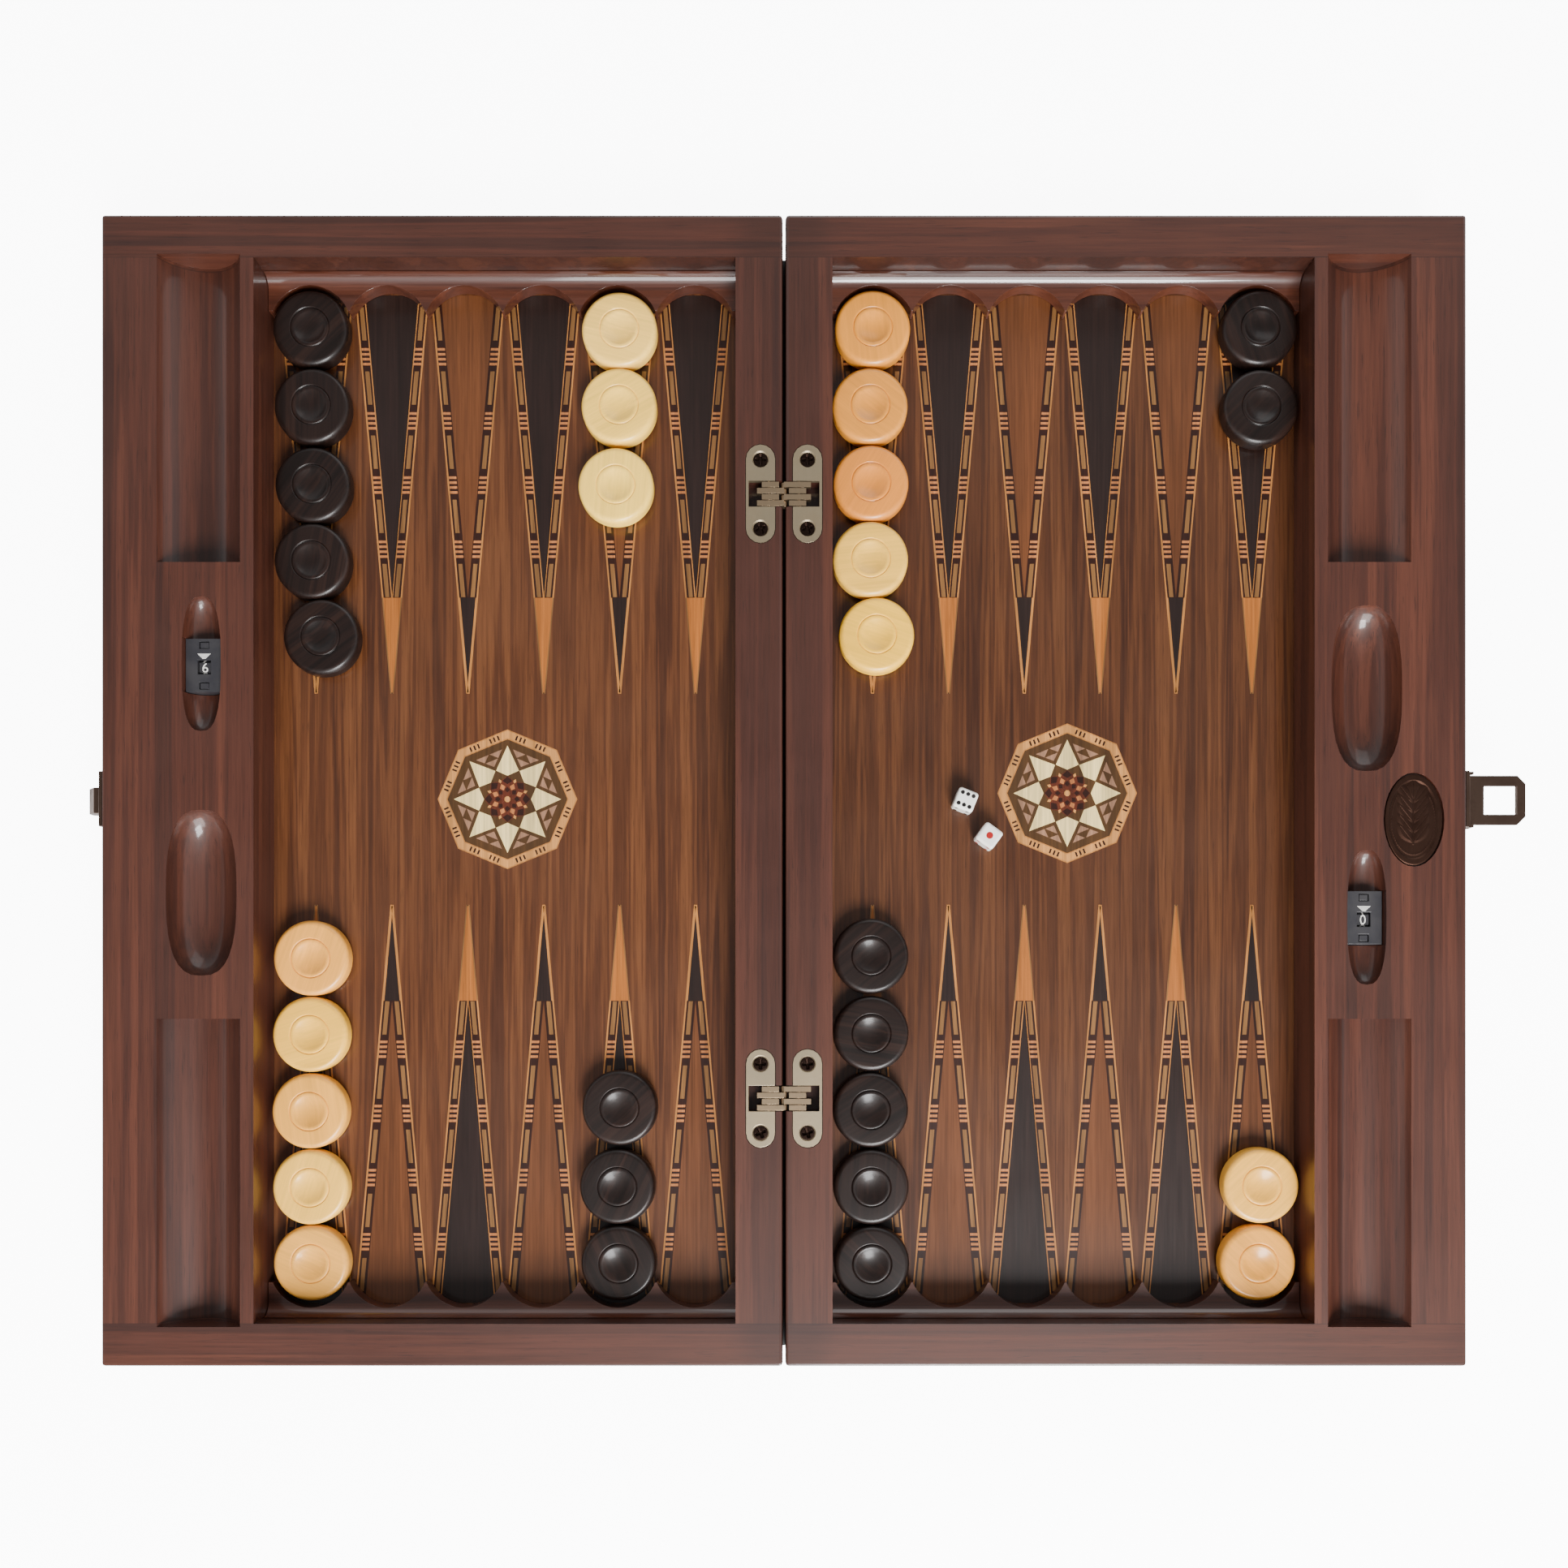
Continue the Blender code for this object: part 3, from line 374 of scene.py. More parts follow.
@dataclass(frozen=True)
class WoodFinish:
    """A lacquered wood: three tones of figure, fibres, pores and a clear coat."""

    name: str
    dark: Point
    mid: Point
    light: Point
    streaks: float = 60.0
    fibres: float = 1.0
    rings: float = 0.15
    pores: float = 0.35
    fibre_depth: float = 1.0
    roughness: float = 0.38
    coat: float = 0.5
    coat_roughness: float = 0.14
    specular: float = 0.3
    grain: Grain = Grain.LENGTHWAYS
    rail_start: float = 0.0
    stain: float = 0.0

    def coordinates(self, tree: Tree) -> tuple[object, object]:
        """Coordinates with the grain along Y, and a mask of the joints between rails."""
        if self.grain is Grain.OWN:
            return tree.node("Attribute", attribute_name=GRAIN_PLACE).outputs["Vector"], 0.0
        place = tree.node("TexCoord").outputs["Object"]
        if self.grain is Grain.LENGTHWAYS:
            return place, 0.0
        turned = Groups.place(tree, rail_turn_group, Vector=place, Rail_Start=self.rail_start)
        return turned.outputs["Vector"], turned.outputs["Joint"]

    def build(self) -> bpy.types.Material:
        """Make the material.

        Returns:
            A Principled material whose colour, roughness and bump follow the grain.
        """
        surface = Surface(self.name)
        tree = surface.tree
        place, joint = self.coordinates(tree)
        figure = Groups.place(
            tree, wood_figure_group, Vector=place, Streaks=self.streaks, Fibres=self.fibres
        )
        marks = surface.marks(place, 1.0)
        level = tree.math(
            "ADD",
            tree.math("MULTIPLY", figure.outputs["Figure"], 1.0 - self.rings),
            tree.math("MULTIPLY", figure.outputs["Rings"], self.rings),
        )
        colour = tree.ramp(level, [(0.30, self.dark), (0.50, self.mid), (0.70, self.light)])
        fibre_tone = tree.ramp(
            figure.outputs["Fibre"],
            [(0.30, (0.74, 0.72, 0.70, 1.0)), (0.70, (1.18, 1.16, 1.14, 1.0))],
        )
        colour = tree.mix(self.fibre_depth, colour, fibre_tone, "MULTIPLY")
        pore_share = tree.math("MULTIPLY", figure.outputs["Pores"], self.pores)
        colour = tree.mix(pore_share, colour, scaled(self.dark, 0.45))
        if joint:
            colour = tree.mix(tree.math("MULTIPLY", joint, 0.55), colour, scaled(self.dark, 0.4))
        # the case's colour is mixed towards a darker tone near its outer edges, its ends and the
        # fold
        if self.stain:
            edge = Groups.place(
                tree, edge_stain_group, Vector=tree.node("TexCoord").outputs["Object"]
            )
            share = tree.math("MULTIPLY", edge.outputs["Edge"], self.stain)
            colour = tree.mix(share, colour, scaled(self.dark, 0.5))
        patch_tone = tree.math("MULTIPLY", marks.outputs["Patches"], 0.16)
        colour = tree.mix(patch_tone, colour, scaled(self.light, 0.8))
        gloss = tree.math("MULTIPLY", figure.outputs["Fibre"], 0.12)
        gloss = tree.math("ADD", gloss, self.roughness - 0.06)
        gloss = tree.math("ADD", gloss, tree.math("MULTIPLY", marks.outputs["Patches"], 0.06))
        surface.link(
            Base_Color=colour, Roughness=gloss, Coat_Weight=self.coat,
            Coat_Roughness=self.coat_roughness, Specular_IOR_Level=self.specular,
        )
        relief = tree.math("SUBTRACT", figure.outputs["Fibre"], pore_share)
        surface.bump(relief, 0.25, 0.08 * MM)
        return surface.material


@dataclass(frozen=True)
class MetalFinish:
    """A brushed or blackened metal with tarnish in patches."""

    name: str
    colour: Point
    tarnish: Point
    roughness: float = 0.32
    metallic: float = 1.0
    tarnish_share: float = 0.5
    brush: float = 1.0

    def build(self) -> bpy.types.Material:
        """Make the material."""
        surface = Surface(self.name)
        tree = surface.tree
        place = tree.node("TexCoord").outputs["Object"]
        marks = surface.marks(place, 4.0)
        brushed = tree.noise(tree.stretched(place, (1.0, 0.02, 1.0)), 5000.0 * self.brush, 2.0)
        share = tree.math("MULTIPLY", marks.outputs["Patches"], self.tarnish_share)
        colour = tree.mix(share, self.colour, self.tarnish)
        specks = tree.math("MULTIPLY", marks.outputs["Specks"], 0.5)
        colour = tree.mix(specks, colour, self.tarnish)
        gloss = tree.math("ADD", tree.math("MULTIPLY", share, 0.2), self.roughness)
        gloss = tree.math("ADD", gloss, tree.math("MULTIPLY", brushed, 0.1))
        surface.link(Base_Color=colour, Roughness=gloss, Metallic=self.metallic)
        relief = tree.math("SUBTRACT", brushed, marks.outputs["Scratches"])
        surface.bump(relief, 0.2, 0.05 * MM)
        return surface.material


@dataclass(frozen=True)
class PlasticFinish:
    """A moulded plastic with a fine texture and a little dust."""

    name: str
    colour: Point
    dust: Point
    roughness: float = 0.4
    dust_share: float = 0.2
    texture: float = 0.15
    coat: float = 0.0

    def build(self) -> bpy.types.Material:
        """Make the material."""
        surface = Surface(self.name)
        tree = surface.tree
        place = tree.node("TexCoord").outputs["Object"]
        marks = surface.marks(place, 5.0)
        fine = tree.noise(place, 4000.0, 2.0)
        share = tree.math("MULTIPLY", marks.outputs["Patches"], self.dust_share)
        share = tree.math("MAXIMUM", share, tree.math("MULTIPLY", marks.outputs["Specks"], 0.4))
        gloss = tree.math("ADD", tree.math("MULTIPLY", share, 0.3), self.roughness)
        colour = tree.mix(share, self.colour, self.dust)
        surface.link(Base_Color=colour, Roughness=gloss, Coat_Weight=self.coat)
        surface.bump(fine, self.texture, 0.05 * MM)
        return surface.material


class Wood(Enum):
    """The veneers of the inlays, and how far each layer stands over the field."""

    LINE = ("inlay_line", linear(158, 104, 52), 2)
    DARK = ("inlay_dark", linear(36, 12, 4), 1)
    BAR = ("inlay_bar", linear(112, 77, 42), 2)
    STRIPE = ("inlay_stripe", linear(162, 100, 56), 2)
    EBONY = ("inlay_ebony", linear(30, 17, 13), 2)
    WALNUT = ("inlay_walnut", linear(86, 49, 25), 2)
    TAN = ("inlay_tan", linear(150, 88, 36), 2)
    CREAM = ("inlay_cream", linear(212, 188, 130), 3)
    BORDER = ("inlay_border", linear(176, 122, 66), 1)
    ROSE = ("inlay_rose", linear(132, 98, 76), 3)
    SMOKE = ("inlay_smoke", linear(66, 43, 20), 1)
    RUSSET = ("inlay_russet", linear(78, 34, 18), 3)

    def __init__(self, label: str, colour: Point, layer: int) -> None:
        """Name the value's fields."""
        self.label = label
        self.colour = colour
        self.layer = layer

    def finish(self) -> WoodFinish:
        """The finish of this veneer."""
        return WoodFinish(
            self.label, scaled(self.colour, 0.72), self.colour, scaled(self.colour, 1.25),
            streaks=170.0, rings=0.12, pores=0.25, coat=0.35,
        )


class Shop:
    """Makes materials once and puts pieces into the scene."""

    def __init__(self) -> None:
        """Start with no materials."""
        self.materials: dict[str, bpy.types.Material] = {}

    def material(self, finish: WoodFinish | MetalFinish | PlasticFinish) -> bpy.types.Material:
        """The material of a finish, built on first use."""
        if finish.name not in self.materials:
            self.materials[finish.name] = finish.build()
        return self.materials[finish.name]

    def place(self, obj: bpy.types.Object, finish: object, body: str, slot: str = "",
              replaces: Sequence[str] = ()) -> bpy.types.Object:
        """Dress a piece and tie it to the frame.

        Args:
            obj: The piece, its place in its mesh.
            finish: What it is made of.
            body: The body that it rides on.
            slot: The record's material slot, or nothing; not used.
            replaces: Solids that it stands for.
        Returns:
            The piece.
        """
        obj.data.materials.clear()
        obj.data.materials.append(self.material(finish))
        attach(obj, body)
        if replaces:
            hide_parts(*replaces)
        LOG.info("%s: %d faces on %s", obj.name, len(obj.data.polygons), body)
        return obj

    def dress(self, node: str, finish: object) -> bpy.types.Object:
        """Give a solid that stays a better material."""
        obj = frame["nodes"][node]
        obj.data.materials.clear()
        obj.data.materials.append(self.material(finish))
        return obj


# ---------------------------------------------------------------- mesh making
def new_object(name: str, mesh: bpy.types.Mesh) -> bpy.types.Object:
    """Link a mesh into the scene as an object at the origin."""
    obj = bpy.data.objects.new(name, mesh)
    bpy.context.scene.collection.objects.link(obj)
    return obj


def tidy_mesh(mesh: bpy.types.Mesh, weld: float = 1e-7, outwards: bool = True,
              smooth_below: float = 35.0) -> bpy.types.Mesh:
    """Merge doubles, turn faces outwards and shade smoothly up to an angle.

    Args:
        mesh: The mesh to tidy.
        weld: Distance below which points are merged.
        outwards: Whether its closed shells have their normals recalculated.
        smooth_below: Edge angle in degrees that still looks smooth.
    Returns:
        The same mesh.
    """
    shape = bmesh.new()
    shape.from_mesh(mesh)
    bmesh.ops.remove_doubles(shape, verts=shape.verts, dist=weld)
    if outwards:
        bmesh.ops.recalc_face_normals(shape, faces=shape.faces)
    shape.to_mesh(mesh)
    shape.free()
    mesh.shade_smooth()
    mesh.set_sharp_from_angle(angle=math.radians(smooth_below))
    return mesh


def grid_faces(rows: int, columns: int, around: bool) -> np.ndarray:
    """Corner numbers of the quads of a grid, whose columns may close on themselves."""
    wide = columns if around else columns - 1
    row, column = np.meshgrid(np.arange(rows - 1), np.arange(wide), indexing="ij")
    after = (column + 1) % columns
    corners = (
        row * columns + column, row * columns + after,
        (row + 1) * columns + after, (row + 1) * columns + column,
    )
    return np.stack(corners, axis=-1).reshape(-1, 4)


def grid_mesh(name: str, grids: Sequence[np.ndarray], around: bool) -> bpy.types.Object:
    """An object from grids of points, (rows, columns, 3) each.

    Args:
        name: The object's name.
        grids: Surfaces, each a whole array of places.
        around: Whether the last column joins the first.
    Returns:
        The object, its faces outwards.
    """
    faces, start = [], 0
    for grid in grids:
        faces.append(grid_faces(grid.shape[0], grid.shape[1], around) + start)
        start += grid.shape[0] * grid.shape[1]
    points = np.concatenate([grid.reshape(-1, 3) for grid in grids])
    mesh = bpy.data.meshes.new(name)
    mesh.from_pydata(points.tolist(), [], np.concatenate(faces).tolist())
    return new_object(name, tidy_mesh(mesh))


def prisms(outlines: np.ndarray, low: float, high: float,
           start: int = 0) -> tuple[np.ndarray, list[list[int]]]:
    """Flat outlines raised between two heights.

    Each outline gives its corners at both heights, a face at each and a quad for each side.

    Args:
        outlines: Corners, (count, corners, 2).
        low, high: The two heights.
        start: Number of the first point.
    Returns:
        Points, (n, 3), and the corner numbers of the faces.
    """
    count, corners, _ = outlines.shape
    solid = np.empty((count, 2, corners, 3))
    solid[..., :2] = outlines[:, None]
    solid[..., 2] = np.array((low, high))[None, :, None]
    base = start + np.arange(count)[:, None] * 2 * corners
    around = np.arange(corners)[None, :]
    after = (around + 1) % corners
    faces = (base + around[:, ::-1]).tolist() + (base + corners + around).tolist()
    sides = np.stack(
        (base + around, base + after, base + corners + after, base + corners + around), axis=-1
    )
    return solid.reshape(-1, 3), faces + sides.reshape(-1, 4).tolist()


def turned_grid(profile: np.ndarray, centre: Point, axis: str = "Z",
                steps: int = 64) -> np.ndarray:
    """A profile of (radius, height) carried round an axis: x = r cos t, y = r sin t.

    Args:
        profile: Points from one pole to the other.
        centre: Where height zero of the axis is.
        axis: X, Y or Z.
        steps: How many points go round.
    Returns:
        The grid, one row for each profile point.
    """
    turn = np.linspace(0.0, 2.0 * math.pi, steps, endpoint=False)
    radius, height = profile[:, 0:1], profile[:, 1:2]
    flat = np.ones_like(turn)[None, :]
    parts = {"Z": (0, 1, 2), "X": (1, 2, 0), "Y": (2, 0, 1)}[axis]
    grid = np.empty((len(profile), steps, 3))
    grid[..., parts[0]] = radius * np.cos(turn)[None, :]
    grid[..., parts[1]] = radius * np.sin(turn)[None, :]
    grid[..., parts[2]] = height * flat
    return grid + np.array(centre)


def merged_copy(node: str, name: str, round_width: float, segments: int = 2,
                smooth_below: float = 35.0) -> bpy.types.Object:
    """A copy of a solid with its doubles merged, flats joined and edges eased.

    Args:
        node: The solid.
        name: The copy's name.
        round_width: How much each sharp edge is eased.
        segments: Facets of an eased edge.
        smooth_below: Edge angle in degrees that is left as it is.
    Returns:
        The copy.
    """
    mesh = frame["nodes"][node].data.copy()
    mesh.name = name
    shape = bmesh.new()
    shape.from_mesh(mesh)
    bmesh.ops.remove_doubles(shape, verts=shape.verts, dist=1e-6)
    bmesh.ops.dissolve_limit(
        shape, angle_limit=math.radians(0.5), verts=shape.verts, edges=shape.edges
    )
    shape.to_mesh(mesh)
    shape.free()
    mesh.shade_smooth()
    mesh.set_sharp_from_angle(angle=math.radians(smooth_below))
    copy = new_object(name, mesh)
    bevel = copy.modifiers.new("eased", "BEVEL")
    bevel.width = round_width
    bevel.segments = segments
    bevel.limit_method = "ANGLE"
    bevel.angle_limit = math.radians(smooth_below)
    even = copy.modifiers.new("even", "WEIGHTED_NORMAL")
    even.weight = 100
    even.keep_sharp = True
    return copy


# ---------------------------------------------------------------- inlaid fields
def edge_half_width(along: np.ndarray, tip: float, blunt: float, slope: float) -> np.ndarray:
    """Half the width of a point at a distance from the middle: blunt + slope·(along - tip)."""
    return blunt + slope * (np.asarray(along, dtype=float) - tip)


class Veneers:
    """Collects flat outlines for each wood and lays them into a field as thin sheets."""

    def __init__(self, shop: Shop, side: str, slot: str) -> None:
        """Start with no outlines.

        Args:
            shop: Where materials come from.
            side: left or right.
            slot: The record's slot of the veneers.
        """
        self.shop = shop
        self.side = side
        self.slot = slot
        self.outlines: dict[Wood, list[tuple[np.ndarray, int]]] = {}

    def add(self, wood: Wood, outlines: np.ndarray, layer: int = 0) -> None:
        """Add outlines of one number of corners, (count, corners, 2), in metres."""
        self.outlines.setdefault(wood, []).append((np.asarray(outlines), layer or wood.layer))

    def lay(self, surface: float, sunk: float = 0.2 * MM, step: float = 0.02 * MM) -> None:
        """Make one piece for each wood.

        A sheet is its outline raised from surface - sunk to surface + (layer + 1)·step.

        Args:
            surface: Height of the field.
            sunk: How far the sheets reach into it.
            step: Height of a layer.
        """
        for wood, groups in self.outlines.items():
            points, faces, start = [], [], 0
            for outlines, layer in groups:
                top = surface + (layer + 1) * step
                places, quads = prisms(outlines, surface - sunk, top, start)
                points.append(places)
                faces += quads
                start += len(places)
            mesh = bpy.data.meshes.new(f"{self.side}_{wood.label}")
            mesh.from_pydata(np.concatenate(points).tolist(), [], faces)
            shape = bmesh.new()
            shape.from_mesh(mesh)
            bmesh.ops.recalc_face_normals(shape, faces=shape.faces)
            shape.to_mesh(mesh)
            shape.free()
            piece = new_object(f"{self.side}_{wood.label}", mesh)
            self.shop.place(piece, wood.finish(), f"{self.side}_half", self.slot)


@dataclass
class PointInlay:
    """The twelve long points of one half, six from each end."""

    first: float = 42.35 * MM
    pitch: float = 36.3 * MM
    tip: float = 50.5 * MM
    cut: float = 96.4 * MM
    end: float = 241.0 * MM
    blunt: float = 0.75 * MM
    slope: float = 0.0891
    line: float = 0.75 * MM
    groove: float = 1.65 * MM
    bar: float = 3.65 * MM
    band: float = 4.45 * MM
    period: float = 30.7 * MM
    rectangle: float = 16.2 * MM
    square: float = 2.9 * MM
    stripe: float = 1.2 * MM
    stripe_pitch: float = 2.35 * MM

    def edge(self, along: np.ndarray) -> np.ndarray:
        """Half the width of a point at distances from the middle."""
        return edge_half_width(along, self.tip, self.blunt, self.slope)

    def quads(self, centres: np.ndarray, way: float, near: Sequence[float], far: Sequence[float],
              inner: float, outer: float, both: bool = True) -> np.ndarray:
        """Strips that follow the slanting sides, for some points at once.

        Corners are at edge(v) - outer and edge(v) - inner across, at v = near and far.

        Args:
            centres: Where the points' axes are, along X.
            way: +1 for points at the upper end, -1 at the lower end.
            near, far: Distances from the middle where each strip starts and ends.
            inner, outer: Distances in from the point's side.
            both: Whether the other side gets its mirrored strips.
        Returns:
            Outlines, (count, 4, 2).
        """
        near, far = np.asarray(near, dtype=float), np.asarray(far, dtype=float)
        across = np.stack(
            (self.edge(near) - inner, self.edge(near) - outer,
             self.edge(far) - outer, self.edge(far) - inner), axis=-1,
        )
        along = np.stack((near, near, far, far), axis=-1)
        hands = np.array((1.0, -1.0)) if both else np.array((1.0,))
        shape = (len(centres), len(hands), len(near), 4)
        out = np.empty((*shape, 2))
        out[..., 0] = centres[:, None, None, None] + hands[None, :, None, None] * across
        out[..., 1] = way * np.broadcast_to(along, shape)
        return out.reshape(-1, 4, 2)

    def cores(self, centres: np.ndarray, way: float, near: float, far: float,
              inset: float) -> np.ndarray:
        """Middles of some points between two distances, inset from both sides."""
        reach = np.array((self.edge(near), -self.edge(near), -self.edge(far), self.edge(far)))
        reach = reach - np.sign(reach) * inset
        out = np.empty((len(centres), 4, 2))
        out[..., 0] = centres[:, None] + reach
        out[..., 1] = way * np.array((near, near, far, far))
        return out

    def build(self, veneers: Veneers, centres: np.ndarray, way: float, ebony: bool) -> None:
        """Lay some points of one kind.

        Args:
            veneers: Where the outlines go.
            centres: Where the points' axes are, along X.
            way: +1 for the upper end, -1 for the lower end.
            ebony: Whether the middle is ebony and the tip tan, or walnut and black.
        """
        veneers.add(Wood.DARK, self.cores(centres, way, self.tip, self.end, 0.0))
        veneers.add(Wood.LINE, self.quads(centres, way, [self.cut], [self.end], 0.0, self.line))
        core = Wood.EBONY if ebony else Wood.WALNUT
        inset = self.band + (0.5 * MM if ebony else 0.4 * MM)
        veneers.add(core, self.cores(centres, way, self.cut, self.end, inset))
        if ebony:
            veneers.add(
                Wood.LINE, self.quads(centres, way, [self.cut], [self.end], self.band, inset)
            )
        tip, side = (Wood.TAN, 0.55 * MM) if ebony else (Wood.EBONY, 1.15 * MM)
        blunt = self.tip + 0.6 * MM
        start = blunt + (0 if ebony else 6 * MM)
        veneers.add(tip, self.cores(centres, way, start, self.cut, side))
        trim = Wood.LINE if not ebony else Wood.BAR
        inner = min(side, self.blunt)
        veneers.add(trim, self.quads(centres, way, [self.tip], [blunt], 0.0, inner))
        veneers.add(trim, self.quads(centres, way, [blunt], [self.cut], 0.0, side), 3)
        starts = self.cut + self.period * np.arange(5)
        ends = np.minimum(starts + self.rectangle, self.end)
        veneers.add(
            Wood.BAR, self.quads(centres, way, starts + 0.3 * MM, ends, self.groove, self.bar)
        )
        lines = (
            starts[:, None] + self.rectangle + self.square
            + self.stripe_pitch * np.arange(4)[None, :]
        ).ravel()
        lines = lines[lines < self.end - 2 * self.stripe]
        veneers.add(
            Wood.STRIPE,
            self.quads(centres, way, lines, lines + self.stripe, self.line + 0.1 * MM, self.band),
        )


@dataclass
class Medallion:
    """An eight-sided inlay: a barred border, kites and fields, and a rosette."""

    centre: tuple[float, float] = (0.0, 0.0)
    border: float = 33.4 * MM
    border_inner: float = 28.7 * MM
    star: float = 26.0 * MM
    waist: float = 14.7 * MM
    rosette: float = 11.1 * MM
    bar_width: float = 0.8 * MM
    bar_pitch: float = 2.0 * MM

    def ring(self, corners: Sequence[tuple[float, float]], start: float = 0.0) -> np.ndarray:
        """An outline repeated eight times round the centre.

        Each corner (r, t) becomes centre + r·(sin(t + k·45°), cos(t + k·45°)).

        Args:
            corners: Radius in metres and angle in degrees of each corner.
            start: Angle added to all.
        Returns:
            Outlines, (8, corners, 2).
        """
        polar = np.asarray(corners, dtype=float)
        turn = np.radians(polar[None, :, 1] + start + 45.0 * np.arange(8)[:, None])
        out = np.stack((polar[:, 0] * np.sin(turn), polar[:, 0] * np.cos(turn)), axis=-1)
        return out + np.array(self.centre)

    def sides(self, outer: float, inner: float) -> np.ndarray:
        """The eight quads between two octagons."""
        return self.ring([(outer, 0.0), (outer, 45.0), (inner, 45.0), (inner, 0.0)])

    def shrunk(self, outline: np.ndarray, share: float) -> np.ndarray:
        """Outlines drawn in towards their own middles by a share."""
        middle = outline.mean(axis=1, keepdims=True)
        return middle + (outline - middle) * share

    def bars(self) -> np.ndarray:
        """Three short bars across the border, twice on each of its sides.

        A side runs from corner P to corner Q.  Bars lie at P + (Q - P)·s, between the
        octagons 1.1 mm inside the border's two edges, so they cross most of it.

        Returns:
            Outlines, (48, 4, 2).
        """
        length = self.border * 2 * math.sin(math.radians(22.5))
        middles = (np.array((0.30, 0.70))[:, None] * length
                   + self.bar_pitch * np.array((-1.0, 0.0, 1.0))[None, :]).ravel() - length / 2
        apothem = math.cos(math.radians(22.5))
        low, high = (self.border_inner + 1.1 * MM) * apothem, (self.border - 1.1 * MM) * apothem
        half = self.bar_width / 2
        flat = np.empty((len(middles), 4, 2))
        flat[..., 0] = middles[:, None] + np.array((-half, half, half, -half))
        flat[..., 1] = np.array((low, low, high, high))
        turn = np.radians(22.5 + 45.0 * np.arange(8))[:, None, None]
        x, y = flat[None, ..., 0], flat[None, ..., 1]
        out = np.stack(
            (x * np.cos(turn) + y * np.sin(turn), -x * np.sin(turn) + y * np.cos(turn)), axis=-1
        )
        return out.reshape(-1, 4, 2) + np.array(self.centre)

    def build(self, veneers: Veneers) -> None:
        """Lay the medallion."""
        veneers.add(Wood.BORDER, self.sides(self.border, self.border_inner), 1)
        veneers.add(Wood.LINE, self.sides(self.border, self.border - 0.55 * MM), 2)
        veneers.add(Wood.LINE, self.sides(self.border_inner + 0.55 * MM, self.border_inner), 2)
        veneers.add(Wood.DARK, self.bars(), 3)
        veneers.add(Wood.SMOKE, self.sides(self.border_inner, 0.1 * MM), 1)
        veneers.add(Wood.RUSSET, self.sides(self.rosette, 0.1 * MM), 2)
        kite = self.ring(
            [(self.star, 0.0), (self.waist, 22.5), (self.rosette, 0.0), (self.waist, -22.5)]
        )
        veneers.add(Wood.CREAM, self.shrunk(kite, 0.97), 3)
        part = self.ring([(self.star, 0.0), (self.star, 45.0), (self.waist, 22.5)])
        inner = self.shrunk(part, 0.70)
        middles = (inner + np.roll(inner, -1, axis=1)) / 2
        for corner in range(3):
            trio = np.stack(
                (inner[:, corner], middles[:, corner], middles[:, corner - 1]), axis=1
            )
            veneers.add(Wood.ROSE, self.shrunk(trio, 0.92), 3)
        quad = self.ring([(self.waist, 22.5), (self.rosette, 0.0), (9.3 * MM, 22.5),
                          (self.rosette, 45.0)])
        veneers.add(Wood.SMOKE, quad, 3)
        rosette = (
            (Wood.DARK, 10.9, 7.2, 9.0, 15.0, 0.0, 5),
            (Wood.BORDER, 10.4, 8.2, 9.2, 5.0, 22.5, 4),
            (Wood.STRIPE, 7.9, 4.6, 6.2, 13.0, 22.5, 6),
            (Wood.DARK, 6.0, 3.2, 4.6, 15.0, 0.0, 7),
            (Wood.RUSSET, 4.4, 1.6, 3.0, 15.0, 22.5, 8),
        )
        for wood, far, near, middle, spread, start, layer in rosette:
            lozenge = [(far * MM, 0.0), (middle * MM, spread), (near * MM, 0.0),
                       (middle * MM, -spread)]
            veneers.add(wood, self.ring(lozenge, start), layer)
        veneers.add(
            Wood.BORDER, self.ring([(1.5 * MM, -22.5), (1.5 * MM, 22.5), (0.0, 0.0)]), 9
        )


@dataclass
class Field:
    """The inlaid playing surface of one half: its panel, its points and its medallion."""

    side: str
    medallion: Medallion
    ground: WoodFinish = WoodFinish(
        "field_ground", linear(58, 30, 15), linear(76, 42, 21), linear(94, 56, 30),
        streaks=95.0, rings=0.22, pores=0.4, coat=0.45,
    )
    points: PointInlay = field(default_factory=PointInlay)
    depth: float = 1.0

    def build(self, shop: Shop) -> None:
        """Dress the panel and lay the inlays into it; each half has its own copy of the ground,
        its tones scaled by depth.
        """
        panel = f"{self.side}_field_panel"
        # the ground's tones are scaled by depth; the right field is made darker this way
        ground = replace(
            self.ground, name=f"{self.side}_{self.ground.name}",
            dark=scaled(self.ground.dark, self.depth), mid=scaled(self.ground.mid, self.depth),
            light=scaled(self.ground.light, self.depth),
        )
        shop.dress(panel, ground)
        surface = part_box(panel)[1].z
        hand = -1.0 if self.side == "left" else 1.0
        from_fold = self.points.first + self.points.pitch * np.arange(6)
        centres = np.sort(FOLD_X + hand * from_fold)
        veneers = Veneers(shop, self.side, "field_veneer")
        for way, first_is_ebony in ((1.0, False), (-1.0, True)):
            self.points.build(veneers, centres[0::2], way, first_is_ebony)
            self.points.build(veneers, centres[1::2], way, not first_is_ebony)
        x, y = self.medallion.centre
        self.medallion.centre = (FOLD_X + x, y)
        self.medallion.build(veneers)
        veneers.lay(surface)


